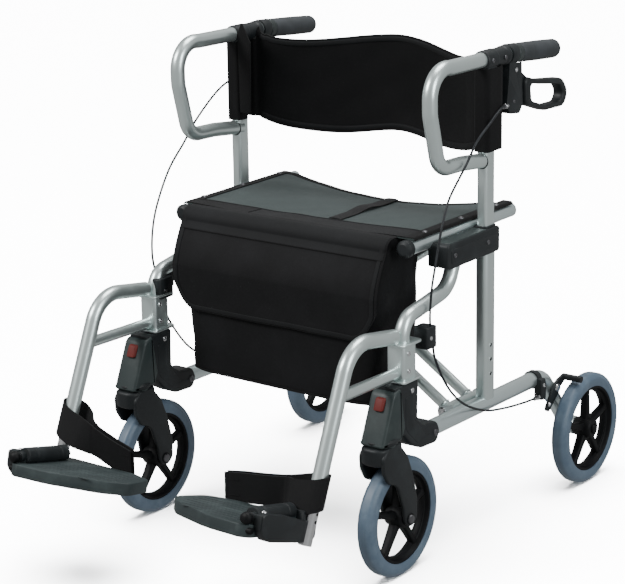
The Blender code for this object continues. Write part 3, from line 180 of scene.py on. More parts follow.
def satinAluminium(name, base, shade, streaks):
    # anodised tube: fine grain along the tube, a cloudy tint and a few duller smudges
    paint = Paint(name)
    place = paint.place()
    cloud = paint.noise(place, 9.0, 4.0)
    grain = paint.noise(paint.stretch(place, streaks), 900.0, 2.0)
    smudge = paint.noise(place, 31.0, 5.0, 0.7).between(0.52, 0.74)
    colour = paint.mix(cloud, base, shade)
    return paint.finish(colour=colour, metallic=0.88,
                        roughness=0.27 + grain * 0.10 + smudge * 0.08,
                        normal=paint.bump(grain, 0.10, 0.00012))


def mouldedPlastic(name, base, worn, gloss=0.46, grainScale=1500.0, shine=0.35):
    # injection moulded part: fine spark grain, slightly paler where hands and feet rub it
    paint = Paint(name)
    place = paint.place()
    grain = paint.noise(place, grainScale, 2.0)
    rubbed = paint.noise(place, 22.0, 4.0, 0.6).between(0.45, 0.75)
    colour = paint.mix(rubbed * 0.8, base, worn)
    return paint.finish(colour=colour, roughness=gloss + grain * 0.10 + rubbed * 0.06,
                        specular=shine, normal=paint.bump(grain, 0.35, 0.00015))


def tyreRubber(name, base, dusty):
    # soft grey rubber with pores, and dust that clings in patches
    paint = Paint(name)
    place = paint.place()
    pores = paint.cells(place, 620.0)
    dust = paint.noise(place, 40.0, 6.0, 0.65).between(0.42, 0.72)
    fine = paint.noise(place, 700.0, 2.0)
    colour = paint.mix(dust * 0.55 + fine * 0.12, base, dusty)
    return paint.finish(colour=colour, roughness=0.44 + dust * 0.16,
                        normal=paint.bump(pores, 0.12, 0.00018))


def softFoam(name, base, worn):
    # closed-cell grip: dimples all over and a rubbed, greyer tone in patches
    paint = Paint(name)
    place = paint.place()
    dimples = paint.cells(place, 900.0)
    rubbed = paint.noise(place, 28.0, 4.0).between(0.40, 0.70)
    colour = paint.mix(rubbed, base, worn)
    return paint.finish(colour=colour, roughness=0.62 + rubbed * 0.08,
                        normal=paint.bump(dimples, 0.30, 0.00025))


def platedSteel(name, base, gloss):
    # bright plated steel with faint turning marks
    paint = Paint(name)
    place = paint.place()
    marks = paint.noise(paint.stretch(place, (1.0, 1.0, 8.0)), 260.0, 3.0)
    cloud = paint.noise(place, 45.0, 3.0)
    dulled = tuple(value * 0.78 for value in base[:3]) + (1.0,)
    colour = paint.mix(cloud, base, dulled)
    return paint.finish(colour=colour, metallic=1.0, roughness=gloss + marks * 0.12,
                        normal=paint.bump(marks, 0.05, 0.00008))


def wovenCloth(name, base, thread, pitch, gloss=0.72, crease=0.25):
    # bag cloth: a plain weave, where each thread shows as the other dips under it, with soft
    # creases, lint and fading in large patches
    paint = Paint(name)
    first, second = paint.threads(pitch, pitch)
    weave = first * second
    height, over = weave.size(), (weave * 4.0).between(-1.0, 1.0)
    place = paint.place()
    faded = paint.noise(place, 11.0, 5.0, 0.6)
    creases = paint.noise(paint.stretch(place, (1.0, 1.0, 0.45)), 24.0, 5.0, 0.62)
    lint = paint.noise(place, 420.0, 2.0).between(0.66, 0.78)
    colour = paint.mix(faded.between(0.35, 0.75) * 0.6 + over * 0.25, base, thread)
    colour = paint.mix(lint * 0.10, colour, tone(84, 84, 86))
    folds = paint.bump(creases, crease, 0.004)
    return paint.finish(colour=colour, roughness=gloss + over * 0.08, sheen=0.03,
                        sheenRoughness=0.5, specular=0.16,
                        normal=paint.bump(height, 0.30, 0.00025, folds))


def openMesh(name, base, thread, pitch):
    # coated mesh of the seat: thick threads crossing, with dark square holes between
    paint = Paint(name)
    across, along = (threads.size() for threads in paint.threads(pitch, pitch))
    hole = across.between(0.66, 0.9) * along.between(0.66, 0.9)
    place = paint.place()
    cloud = paint.noise(place, 7.0, 4.0)
    worn = paint.noise(place, 60.0, 4.0).between(0.45, 0.7)
    colour = paint.mix(cloud * 0.5 + worn * 0.3, base, thread)
    colour = paint.mix(hole * 0.75, colour, tone(34, 40, 40))
    return paint.finish(colour=colour, roughness=0.62 + hole * 0.2, sheen=0.04, specular=0.22,
                        normal=paint.bump(1.0 - across * along, 0.45, 0.0004))


def ribbedWebbing(name, base, thread, rib, pitch):
    # strap: ribs along its length, with short threads across each
    paint = Paint(name)
    threads, ribs = (wave.size() for wave in paint.threads(pitch, rib))
    fuzz = paint.noise(paint.place(), 300.0, 3.0)
    colour = paint.mix(ribs * 0.35 + fuzz * 0.4, base, thread)
    return paint.finish(colour=colour, roughness=0.72 + threads * 0.08, sheen=0.03,
                        specular=0.18, normal=paint.bump(ribs + threads * 0.4, 0.40, 0.0004))


def plainFloor(name):
    # pale matt floor with a faint cloud in its tone
    paint = Paint(name)
    cloud = paint.noise(paint.place(), 2.0, 2.0)
    colour = paint.mix(cloud, tone(252, 252, 253), tone(248, 249, 250))
    return paint.finish(colour=colour, roughness=0.85)


finishes = dict(
    silver=satinAluminium("satinSilver", (0.70, 0.785, 0.77, 1), (0.62, 0.70, 0.69, 1),
                          (1, 1, 0.06)),
    silverAlong=satinAluminium("satinSilverRails", (0.69, 0.78, 0.785, 1), (0.61, 0.70, 0.70, 1),
                               (1, 0.06, 1)),
    black=mouldedPlastic("blackPlastic", tone(23, 27, 29), tone(38, 43, 45)),
    grey=mouldedPlastic("greyPlastic", tone(40, 49, 49), tone(56, 65, 64), 0.40),
    collar=mouldedPlastic("collarPlastic", tone(40, 46, 46), tone(58, 66, 65), 0.36),
    rim=mouldedPlastic("rimPlastic", tone(7, 8, 10), tone(15, 17, 19), 0.50, shine=0.20),
    tread=mouldedPlastic("footplatePlastic", tone(40, 49, 50), tone(58, 68, 68), 0.52, 900.0),
    tyre=tyreRubber("tyreRubber", tone(80, 98, 115), tone(106, 122, 136)),
    foam=softFoam("gripFoam", tone(40, 44, 47), tone(52, 56, 60)),
    steel=platedSteel("platedSteel", (0.70, 0.71, 0.72, 1), 0.16),
    dark=platedSteel("darkSteel", (0.16, 0.16, 0.17, 1), 0.30),
    bag=wovenCloth("bagCloth", tone(12, 12, 13), tone(24, 24, 26), 0.0011),
    trim=wovenCloth("trimCloth", tone(16, 17, 18), tone(25, 26, 28), 0.0012, 0.66, 0.12),
    band=wovenCloth("bandCloth", tone(7, 7, 8), tone(14, 14, 15), 0.0010, 0.70, 0.15),
    mesh=openMesh("seatMesh", tone(50, 59, 59), tone(64, 73, 72), 0.0022),
    strap=ribbedWebbing("webbing", tone(12, 12, 13), tone(26, 26, 27), 0.0016, 0.0009),
    sheath=mouldedPlastic("cableSheath", tone(24, 27, 31), tone(40, 44, 48), 0.35),
    red=mouldedPlastic("redInlay", tone(98, 36, 32), tone(112, 52, 46), 0.50, shine=0.25),
)
print("materials ready:", len(finishes))


# shapes, each a dictionary of points, faces, cloth coordinates and a finish

def surface(points, finish, closeI=False, caps=False):
    # quads over a grid of points P[i, j] whose rows are closed rings; the cloth coordinates
    # are its mean arc lengths
    rows, columns = points.shape[:2]
    full = np.concatenate([points, points[:1]]) if closeI else points
    full = np.concatenate([full, full[:, :1]], axis=1)
    u = np.zeros(full.shape[:2])
    v = np.zeros(full.shape[:2])
    u[1:] = np.linalg.norm(np.diff(full, axis=0), axis=2).mean(axis=1).cumsum()[:, None]
    v[:, 1:] = np.linalg.norm(np.diff(full, axis=1), axis=2).mean(axis=0).cumsum()
    index = np.arange(rows * columns).reshape(rows, columns)
    index = np.concatenate([index, index[:1]]) if closeI else index
    index = np.concatenate([index, index[:, :1]], axis=1)
    corners = [(slice(None, -1), slice(None, -1)), (slice(1, None), slice(None, -1)),
               (slice(1, None), slice(1, None)), (slice(None, -1), slice(1, None))]
    faces = np.stack([index[corner] for corner in corners], axis=-1).reshape(-1, 4).tolist()
    cloth = np.stack([np.stack([u[corner], v[corner]], axis=-1) for corner in corners], axis=-2)
    cloth = cloth.reshape(-1, 2)
    if caps:
        ends = [index[0, :columns].tolist()[::-1], index[-1, :columns].tolist()]
        faces += ends
        cloth = np.concatenate([cloth, np.zeros((2 * columns, 2))])
    return dict(points=points.reshape(-1, 3), faces=faces, cloth=cloth, finish=finish)


def unit(vectors):
    # each vector divided by its length
    return vectors / np.maximum(np.linalg.norm(vectors, axis=-1, keepdims=True), 1e-12)


def fullTurn(steps):
    # even angles once round, without the last, which would repeat the first
    return np.linspace(0, 2 * math.pi, steps, endpoint=False)


def powered(value, power):
    # the size raised to a power, with the sign kept: it squares or slims a round section
    return np.sign(value) * np.abs(value) ** power


def rectangle(lowA, lowB, highA, highB):
    # the four corners of a flat rectangle, in order round it
    return [(lowA, lowB), (highA, lowB), (highA, highB), (lowA, highB)]


def bend(points, radii, turn, closed=False):
    # straight runs joined by arcs: each corner becomes a fan about its own centre
    corners = [np.array(point, float) for point in points]
    runs = []
    for number, corner in enumerate(corners):
        radius = radii[number]
        if radius <= 0.0 or (not closed and number in (0, len(corners) - 1)):
            runs.append(corner[None])
            continue
        back = corners[number - 1] - corner
        ahead = corners[(number + 1) % len(corners)] - corner
        room = 0.49 * min(np.linalg.norm(back), np.linalg.norm(ahead))
        back, ahead = unit(back), unit(ahead)
        opening = math.acos(float(np.clip(back @ ahead, -1, 1)))
        reach = radius / math.tan(opening / 2)
        if reach > room and closed:
            reach = room
            radius = reach * math.tan(opening / 2)
        centre = corner + unit(back + ahead) * radius / math.sin(opening / 2)
        start, end = corner + back * reach - centre, corner + ahead * reach - centre
        sweepAngle = math.pi - opening
        share = np.linspace(0, sweepAngle, max(2, math.ceil(math.degrees(sweepAngle) / turn)) + 1)
        arm = (start * np.sin(sweepAngle - share)[:, None] + end * np.sin(share)[:, None])
        runs.append(centre + arm / math.sin(sweepAngle))
    return np.concatenate(runs)


def onSide(x, flat):
    # lifts (y, z) points into the plane at x
    flat = np.asarray(flat, float)
    return np.column_stack([np.full(len(flat), x), flat[:, 0], flat[:, 1]])


def even(path, spacing):
    # the same path, with points at an even spacing along it
    path = np.asarray(path, float)
    travelled = np.concatenate([[0], np.linalg.norm(np.diff(path, axis=0), axis=1).cumsum()])
    count = max(2, round(travelled[-1] / spacing))
    target = np.linspace(0, travelled[-1], count + 1)
    return np.column_stack([np.interp(target, travelled, path[:, k]) for k in range(3)])


def curve(knots, spacing):
    # a smooth curve through given knots: cubic pieces whose slopes follow their neighbours
    knots = np.asarray(knots, float)
    padded = np.concatenate([[2 * knots[0] - knots[1]], knots, [2 * knots[-1] - knots[-2]]])
    t = np.linspace(0, 1, 13)[:-1][None, :, None]
    a, b, c, d = (padded[k:len(padded) - 3 + k][:, None] for k in range(4))
    fine = 0.5 * (2 * b + (c - a) * t + (2 * a - 5 * b + 4 * c - d) * t ** 2
                  + (3 * b - a - 3 * c + d) * t ** 3)
    return even(np.concatenate([fine.reshape(-1, 3), knots[-1:]]), spacing)


def sweep(path, profile, finish, across=(1, 0, 0)):
    # a profile (a, b) carried along a path: P = path + a * side + b * up, where side is the
    # across direction made square to the path, and up is square to both
    path = np.asarray(path, float)
    profile = np.asarray(profile, float)
    tangent = unit(np.gradient(path, axis=0))
    across = np.broadcast_to(np.asarray(across, float), path.shape)
    side = unit(across - (across * tangent).sum(axis=1)[:, None] * tangent)
    up = np.cross(tangent, side)
    if profile.ndim == 2:
        profile = np.broadcast_to(profile, (len(path),) + profile.shape)
    points = (path[:, None] + profile[..., :1] * side[:, None] + profile[..., 1:] * up[:, None])
    return surface(points, finish, caps=True)


def circle(radius, sides):
    # a round section: (cos a, sin a) times its radius
    angle = fullTurn(sides)
    return np.column_stack([np.cos(angle), np.sin(angle)]) * radius


def tube(path, radius, finish, sides, across=(1, 0, 0)):
    # a round section carried along a path
    return sweep(path, circle(radius, sides), finish, across)


def straight(start, end, radius, finish, sides, chamfer=0.0):
    # a round bar from start to end, its edges eased by the chamfer
    start, end = np.array(start, float), np.array(end, float)
    length = np.linalg.norm(end - start)
    axis = (end - start) / length
    eased = min(chamfer, length * 0.4, radius * 0.5)
    profile = [(0, 0), (radius - eased, 0), (radius, eased), (radius, length - eased),
               (radius - eased, length), (0, length)]
    return turned(profile, start, axis, finish, sides)


def turned(profile, centre, axis, finish, steps, closed=False):
    # a (radius, height) profile turned about an axis: P = centre + h * axis + r * (cos, sin)
    profile = np.asarray(profile, float)
    axis = unit(np.asarray(axis, float))
    helper = np.array([0, 0, 1.0]) if abs(axis[2]) < 0.9 else np.array([1.0, 0, 0])
    first = unit(np.cross(axis, helper))
    second = np.cross(axis, first)
    angle = fullTurn(steps)[:, None]
    ring = np.cos(angle) * first + np.sin(angle) * second
    points = (np.asarray(centre, float) + profile[:, 1][:, None, None] * axis
              + profile[:, 0][:, None, None] * ring)
    return surface(points, finish, closeI=closed)


def softened(profile, radius, turn):
    # a (radius, height) profile with its inner corners rounded
    return bend(profile, [0] + [radius] * (len(profile) - 2) + [0], turn)


def slab(outline, low, high, axis, edge, finish, steps=3):
    # an outline extruded along an axis, its rims rounded: from each face, rings climb by
    # edge * (1 - cos a) while they grow out from edge * (1 - sin a) inside the outline
    low, high = min(low, high), max(low, high)
    outline = np.asarray(outline, float)
    following = np.roll(outline, -1, axis=0) - outline
    outline = outline[np.linalg.norm(following, axis=1) > 1e-6]
    area = 0.5 * np.sum(outline[:, 0] * np.roll(outline[:, 1], -1)
                        - np.roll(outline[:, 0], -1) * outline[:, 1])
    if area < 0:
        outline = outline[::-1]
    ahead = unit(np.roll(outline, -1, axis=0) - outline)
    normal = np.column_stack([ahead[:, 1], -ahead[:, 0]])
    corner = unit(normal + np.roll(normal, 1, axis=0))
    corner = corner / np.maximum((corner * normal).sum(axis=1), 0.5)[:, None]
    angle = np.linspace(0, math.pi / 2, steps + 1)
    inset = edge * (1 - np.sin(angle))
    climb = edge * (1 - np.cos(angle))
    inset = np.concatenate([inset, inset[::-1]])
    height = np.concatenate([low + climb, (high - climb)[::-1]])
    flat = outline[None] - corner[None] * inset[:, None, None]
    points = np.empty(flat.shape[:2] + (3,))
    order = {"X": (1, 2, 0), "Y": (0, 2, 1), "Z": (0, 1, 2)}[axis]
    points[..., order[0]] = flat[..., 0]
    points[..., order[1]] = flat[..., 1]
    points[..., order[2]] = height[:, None]
    return surface(points, finish, caps=True)


def plate(outline, radii, turn, low, high, axis, edge, finish, steps=3):
    # a slab whose outline has its corners rounded first, by one radius or by one for each
    radii = radii if isinstance(radii, list) else [radii] * len(outline)
    return slab(bend(outline, radii, turn, True), low, high, axis, edge, finish, steps)


def block(low, high, edge, finish, corner):
    # a box whose upright edges have one radius and whose rims have another
    low, high = np.minimum(low, high), np.maximum(low, high)
    return plate(rectangle(*low[:2], *high[:2]), corner, 22.5, low[2], high[2], "Z", edge, finish)


def boltHead(centre, axis, radius, height, finish="steel"):
    # domed head with a shallow recess in its middle
    profile = [(0, height * 0.55), (radius * 0.35, height * 0.55), (radius * 0.42, height * 0.95),
               (radius * 0.70, height * 0.92), (radius * 0.94, height * 0.55), (radius, 0.0),
               (0, 0)]
    return turned(profile, centre, axis, finish, 24)


def weldBead(centre, axis, radius, size=0.0016, finish="silver"):
    # a low fillet ring where one tube meets another
    section = circle(size, 8) + np.array([radius, 0])
    return turned(section, centre, axis, finish, 36, closed=True)


def linked(name, data):
    # a new object in the scene
    thing = bpy.data.objects.new(name, data)
    bpy.context.scene.collection.objects.link(thing)
    return thing


def fromNode(node, width, finish, segments=2):
    # a copy of a node's mesh with its doubles merged, its flat areas made whole and its
    # edges rounded
    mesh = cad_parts[node].data.copy()
    solid = bmesh.new()
    solid.from_mesh(mesh)
    bmesh.ops.remove_doubles(solid, verts=solid.verts, dist=0.00002)
    bmesh.ops.dissolve_limit(solid, angle_limit=math.radians(1.5), verts=solid.verts,
                             edges=solid.edges)
    sharp = [edge for edge in solid.edges if len(edge.link_faces) == 2
             and edge.calc_face_angle(0.0) > math.radians(32) and edge.calc_length() > width]
    bmesh.ops.bevel(solid, geom=sharp, offset=width, segments=segments, profile=0.5,
                    affect="EDGES", clamp_overlap=True)
    points = np.array([vertex.co[:] for vertex in solid.verts])
    points[:, 1] += layout["originY"]
    faces = [[vertex.index for vertex in face.verts] for face in solid.faces]
    solid.free()
    cloth = np.concatenate([points[face][:, 1:] for face in faces])
    return dict(points=points, faces=faces, cloth=cloth, finish=finish)


def newPiece(name, shapes, body, stands=(), sharp=38.0):
    # one object from several shapes: merges doubles, turns the faces outwards, sets finishes
    used = list(dict.fromkeys(shape["finish"] for shape in shapes))
    counts = np.cumsum([0] + [len(shape["points"]) for shape in shapes])
    points = np.concatenate([shape["points"] for shape in shapes])
    points = points - np.array([0, layout["originY"], 0])
    faces, slots = [], []
    for start, shape in zip(counts, shapes):
        faces += [[corner + int(start) for corner in face] for face in shape["faces"]]
        slots += [used.index(shape["finish"])] * len(shape["faces"])
    mesh = bpy.data.meshes.new(name)
    mesh.from_pydata(points.tolist(), [], faces)
    mesh.polygons.foreach_set("material_index", slots)
    layer = mesh.uv_layers.new(name="cloth")
    cloth = np.concatenate([shape["cloth"] for shape in shapes])
    layer.data.foreach_set("uv", cloth.astype(np.float32).ravel())
    solid = bmesh.new()
    solid.from_mesh(mesh)
    bmesh.ops.remove_doubles(solid, verts=solid.verts, dist=0.000002)
    bmesh.ops.dissolve_degenerate(solid, edges=solid.edges, dist=0.000001)
    bmesh.ops.recalc_face_normals(solid, faces=solid.faces)
    solid.to_mesh(mesh)
    solid.free()
    mesh.shade_smooth()
    mesh.set_sharp_from_angle(angle=math.radians(sharp))
    piece = linked(name, mesh)
    for finish in used:
        mesh.materials.append(finishes[finish])
    if stands:
        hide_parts(*stands)
    if body:
        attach(piece, body)
    return piece


def sidePiece(label, name, shapes, body, node=None, sharp=38.0):
    # one side's piece: it rides that side's body and stands for that side's node
    return newPiece(name + label.capitalize(), shapes, body and f"{body}_{label}",
                    [f"{node}_{label}"] if node else (), sharp)


def onBothSides(*makers):
    # runs all the makers for the right side, then for the left
    for label, side in sideSigns.items():
        for maker in makers:
            maker(label, side)


def withThickness(piece, thickness):
    # gives a sheet its thickness, worked into its mesh
    wall = piece.modifiers.new("thickness", "SOLIDIFY")
    wall.thickness = thickness
    wall.offset = 0.0
    bpy.context.view_layer.update()
    graph = bpy.context.evaluated_depsgraph_get()
    mesh = bpy.data.meshes.new_from_object(piece.evaluated_get(graph))
    piece.modifiers.clear()
    piece.data = mesh
    mesh.shade_smooth()
    return piece


# side frames

railSizes = dict(radius=0.014, frontY=-0.030, rearY=0.335, rise=-0.005, bend=0.050, axleY=0.429,
                 axleZ=0.100, bossRadius=0.0165, wheelX=0.293, hub=0.036, lugThick=0.006,
                 sleeveY=0.0685, sleeveLength=0.100, anchorY=0.300, brakeY=0.360, brakeZ=0.190)
legSizes = dict(radius=0.0125, y=-0.098, bottomZ=0.262, kneeZ=0.424, topY=0.034, topZ=0.446,
                upperBend=0.045, lowerBend=0.035, endZ=0.505)
postSizes = dict(y=0.150, halfWidth=0.010, halfDepth=0.01425, corner=0.006, wall=0.0016,
                 bottomZ=0.365, holeLow=0.272, holePitch=0.025, holes=3)
loopSizes = dict(lowZ=0.637, highZ=0.803, frontY=-0.016, tilt=0.012, gripY=0.230, gripLength=0.140)


def railLine(x):
    # the lower rail's middle line: level, then bent down at the rear to the axle
    sizes, railZ = railSizes, layout["railZ"]
    flat = [(sizes["frontY"], railZ), (sizes["rearY"], railZ + sizes["rise"]),
            (sizes["axleY"], sizes["axleZ"])]
    return onSide(x, bend(flat, [0, sizes["bend"], 0], 4))


def legLine(x):
    # the front leg's middle line: down from the seat housing, forwards and down again
    sizes = legSizes
    flat = [(sizes["topY"] + 0.026, sizes["endZ"]), (sizes["topY"], sizes["topZ"]),
            (sizes["y"], sizes["kneeZ"]), (sizes["y"], sizes["bottomZ"])]
    return onSide(x, bend(flat, [0, sizes["upperBend"], sizes["lowerBend"], 0], 4))


def postOval(x, grow, ease):
    # the posts' flat oval, grown all round, and the radius of its corners grown by ease
    y, halfWidth, halfDepth, corner = [postSizes[key] for key in ("y", "halfWidth", "halfDepth",
                                                                  "corner")]
    wide, deep = halfWidth + grow, halfDepth + grow
    return bend(rectangle(x - wide, y - deep, x + wide, y + deep), [corner + ease] * 4, 15, True)


def makeLowerRail(label, side):
    # rail with its axle boss, the brake's pin, and two lugs that hold the brace's pivot rod
    sizes, railZ, x = railSizes, layout["railZ"], side * layout["frameX"]
    axle, brake = (sizes["axleY"], sizes["axleZ"]), (sizes["brakeY"], sizes["brakeZ"])
    thick, gap = sizes["lugThick"], 0.0003
    inner = side * (layout["frameX"] - sizes["radius"])
    outer = side * (sizes["wheelX"] - sizes["hub"] / 2 - 0.0004)
    rodX = side * layout["pivotX"]
    front = sizes["sleeveY"] - gap - thick
    rear = sizes["sleeveY"] + sizes["sleeveLength"] + gap
    shapes = [tube(railLine(x), sizes["radius"], "silverAlong", 36),
              straight((inner, *axle), (outer, *axle), sizes["bossRadius"], "silverAlong", 40,
                       0.0012),
              straight((rodX, front, railZ), (rodX, rear + thick, railZ), 0.006, "steel", 24),
              straight((x, *brake), (x + side * 0.023, *brake), 0.005, "steel", 24),
              weldBead((x, *axle), (1, 0, 0), sizes["bossRadius"] - 0.001)]
    lug = [(rodX - side * 0.010, railZ - 0.010), (x - side * 0.006, railZ - 0.012),
           (x - side * 0.006, railZ + 0.014), (rodX - side * 0.010, railZ + 0.010)]
    for y, face, way in ((front, front, -1), (rear, rear + thick, 1)):
        shapes += [plate(lug, [0.0085, 0, 0, 0.0085], 15, y, y + thick, "Y", 0.0008,
                         "silverAlong"),
                   boltHead((rodX, face, railZ), (0, way, 0), 0.0085, 0.003)]
    sidePiece(label, "lowerRail", shapes, "side_frame", "lower_rail")


def makeCableEnd(label, side):
    # end fittings of the rear brake's cable: a strap round the rail, a block and an adjuster
    railZ, x, low = layout["railZ"], side * layout["frameX"], railSizes["anchorY"]
    half, cableX, cableZ, face = 0.0155, side * 0.2745, 0.190, x + side * 0.0235
    ring = bend(rectangle(-half, -half, half, half), [0.0135] * 4, 10, True)
    strapPath = [(x, low + 0.001, railZ - 0.0044), (x, low + 0.013, railZ - 0.0046)]
    outline = [(low - 0.002, 0.184), (low + 0.014, 0.182), (low + 0.016, 0.206),
               (low + 0.012, 0.222), (low - 0.002, 0.222)]
    shapes = [sweep(strapPath, ring, "black"),
              plate(outline, [0.003, 0.004, 0.005, 0.004, 0.003], 20, x + side * 0.008, face,
                    "X", 0.002, "black"),
              boltHead((face, low + 0.006, 0.210), (side, 0, 0), 0.0035, 0.0018),
              straight((cableX, low - 0.018, cableZ), (cableX, low, cableZ), 0.0034, "steel", 20,
                       0.0006),
              straight((cableX, low - 0.008, cableZ), (cableX, low - 0.004, cableZ), 0.0052,
                       "steel", 6),
              straight((cableX, low + 0.013, 0.186), (side * 0.2735, low + 0.027, 0.174),
                       0.0016, "steel", 12)]
    sidePiece(label, "cableEnd", shapes, "side_frame")


def makePost(label, side):
    # outer post with its height holes, and the plug that guides the inner post
    sizes, seatZ, x = postSizes, layout["seatRailZ"], side * layout["frameX"]
    wall = sizes["wall"]
    shapes = [slab(postOval(x, wall, wall), layout["railZ"] + 0.004, seatZ, "Z", 0.0006,
                   "silver"),
              slab(postOval(x, wall + 0.0008, wall), seatZ - 0.003, seatZ + 0.0035, "Z", 0.0012,
                   "black")]
    face, way = x + side * (sizes["halfWidth"] + wall), (side, 0, 0)
    # each height hole is a near-black disc just under the face, painted shade for the hollow tube
    # behind it, inside a raised silver rim
    for number in range(sizes["holes"]):
        spot = (face, sizes["y"], sizes["holeLow"] + number * sizes["holePitch"])
        shapes += [turned([(0, 0.00005), (0.0033, 0.00005), (0.0033, -0.001), (0, -0.001)], spot,
                          way, "rim", 20),
                   turned([(0.0033, 0.0), (0.0036, 0.0004), (0.0041, 0.0)], spot, way, "silver",
                          20)]
    sidePiece(label, "lowerPost", shapes, "side_frame", "lower_post")


def makeFrontLeg(label, side):
    # curved tube from the seat housing to the caster housing
    leg = tube(legLine(side * layout["frameX"]), legSizes["radius"], "silver", 36)
    sidePiece(label, "frontLeg", [leg], "side_frame", "front_leg_tube")


def makeSeatHousing(label, side):
    # moulded block that the seat rail drops into: a shallow ledge on top, a seam and two screws
    sizes = dict(near=0.232, far=0.272, frontY=0.012, rearY=0.170, lowZ=0.482, highZ=0.525)
    near, far, front, rear, low, high = sizes.values()
    near, far = side * near, side * far
    face = far + side * 0.0007
    profile = [(front, low + 0.003), (front + 0.010, low), (rear - 0.004, low),
               (rear, low + 0.004), (rear, high), (front, high)]
    inset = rectangle(front + 0.010, low + 0.009, rear - 0.010, high - 0.010)
    shapes = [plate(profile, [0.004, 0.006, 0.004, 0.004, 0.005, 0.007], 15, near, far, "X",
                    0.0032, "black"),
              plate(inset, 0.004, 15, near, face, "X", 0.0008, "black")]
    for y in (front + 0.020, rear - 0.038):
        shapes.append(boltHead((face, y, low + 0.022), (side, 0, 0), 0.0042, 0.0018, "dark"))
    shapes.append(block((side * 0.2425, front + 0.006, high - 0.004),
                        (side * 0.2700, rear - 0.040, high + 0.0012), 0.0012, "grey", 0.003))
    sidePiece(label, "seatHousing", shapes, "side_frame", "seat_housing")


def makeCasterHousing(label, side):
    # an arm from the leg back to the rail, a wider nose over the caster, a cover on each face
    # and a red inlay in front
    x = side * layout["frameX"]
    sizes = dict(topZ=0.3265, neckZ=0.238, armHalf=0.019, noseHalf=0.023)
    top, neck, armHalf, noseHalf = sizes.values()
    arm = [(-0.146, top), (-0.078, top), (-0.080, 0.258), (-0.058, 0.243), (-0.024, 0.2395),
           (-0.0155, 0.221), (-0.024, 0.2030), (-0.070, 0.2055), (-0.100, 0.222),
           (-0.117, neck + 0.003), (-0.134, neck + 0.004)]
    nose = [(-0.132, top - 0.002), (-0.152, top - 0.006), (-0.187, neck), (-0.130, neck),
            (-0.120, neck + 0.020)]
    collar = [(0, 0.0), (0.0255, 0.0), (0.0275, 0.0015), (0.0275, 0.006), (0.024, 0.009),
              (0, 0.009)]
    shapes = [plate(arm, [0, 0.006, 0.016, 0.014, 0.012, 0.013, 0.012, 0.030, 0.020, 0, 0], 10,
                    x - armHalf, x + armHalf, "X", 0.0045, "black", 4),
              plate(nose, [0.003, 0.016, 0.003, 0.003, 0.003], 10, x - noseHalf, x + noseHalf,
                    "X", 0.0055, "grey", 4),
              turned(collar, (x, layout["casterY"], neck + 0.0002), (0, 0, 1), "black", 48)]
    cover = [(-0.0265, 0.221), (-0.0615, 0.226), (-0.072, 0.242), (-0.094, 0.262),
             (-0.094, 0.305), (-0.116, 0.305), (-0.116, 0.250), (-0.082, 0.218),
             (-0.035, 0.211)]
    radii = [0.004, 0.012, 0.012, 0.012, 0.004, 0.004, 0.018, 0.012, 0.004]
    for way in (-1, 1):
        bolt = x + way * (armHalf + 0.0002)
        shapes += [plate(cover, radii, 12, x, x + way * (armHalf + 0.0006), "X", 0.0008,
                         "black"),
                   boltHead((bolt, -0.030, 0.221), (way, 0, 0), 0.0062, 0.0022, "dark"),
                   boltHead((bolt, -0.098, 0.312), (way, 0, 0), 0.0046, 0.0022)]
    inlay = block((x - 0.0090, -0.1905, 0.293), (x + 0.0090, -0.150, 0.313), 0.003, "red", 0.004)
    inlay["points"][:, 1] += 0.0235 + (inlay["points"][:, 2] - 0.2985) * 0.45
    shapes.append(inlay)
    sidePiece(label, "casterHousing", shapes, "side_frame", "caster_housing")


clipSizes = dict(right=dict(frontY=-0.058, rearY=-0.030, lowZ=0.368, highZ=0.404),
                 left=dict(frontY=-0.080, rearY=-0.050, lowZ=0.394, highZ=0.424))


def makeCableClip(label, side):
    # block beside the leg; the left clip also grips the inner side of the leg
    front, rear, low, high = clipSizes[label].values()
    near, far = side * (layout["frameX"] - 0.006), side * (layout["frameX"] + 0.0225)
    shapes = [block((near, front, low), (far, rear, high), 0.0022, "black", 0.004),
              boltHead((far, (front + rear) / 2 - 0.004, (low + high) / 2), (side, 0, 0), 0.0036,
                       0.0016)]
    if label == "left":
        shapes += [block((-0.2560, -0.106, 0.3815), (-0.2365, -0.068, 0.418), 0.0028, "black",
                         0.005),
                   boltHead((-0.2365, -0.092, 0.396), (1, 0, 0), 0.0036, 0.0016, "dark")]
    sidePiece(label, "cableClip", shapes, "side_frame", "cable_clip")


onBothSides(makeLowerRail, makeCableEnd, makePost, makeFrontLeg, makeSeatHousing,
            makeCasterHousing, makeCableClip)
print("side frames ready")


# handles, grips, levers and cables

def loopLine(x):
    # the handle's middle line: forwards from the post, up the armrest loop's front, and back
    # along the top to the grip
    lowZ, highZ, frontY, tilt, gripY, gripLength = loopSizes.values()
    flat = [(postSizes["y"], lowZ), (0.075, lowZ + 0.008), (0.008, lowZ + 0.010),
            (frontY, 0.740), (frontY - 0.001, highZ + 0.010), (0.040, highZ + 0.003),
            (gripY - 0.012, highZ), (gripY + gripLength - 0.006, highZ - tilt)]
    return onSide(x, bend(flat, [0, 0, 0.034, 0.050, 0.045, 0, 0, 0], 4))


def gripPoint(side, y):
    # the grip's middle line falls evenly from its front to its rear end
    start = loopSizes["gripY"] - 0.012
    rear = loopSizes["gripY"] + loopSizes["gripLength"] - 0.006
    fall = loopSizes["tilt"] * (y - start) / (rear - start)
    return np.array([side * layout["frameX"], y, loopSizes["highZ"] - fall])


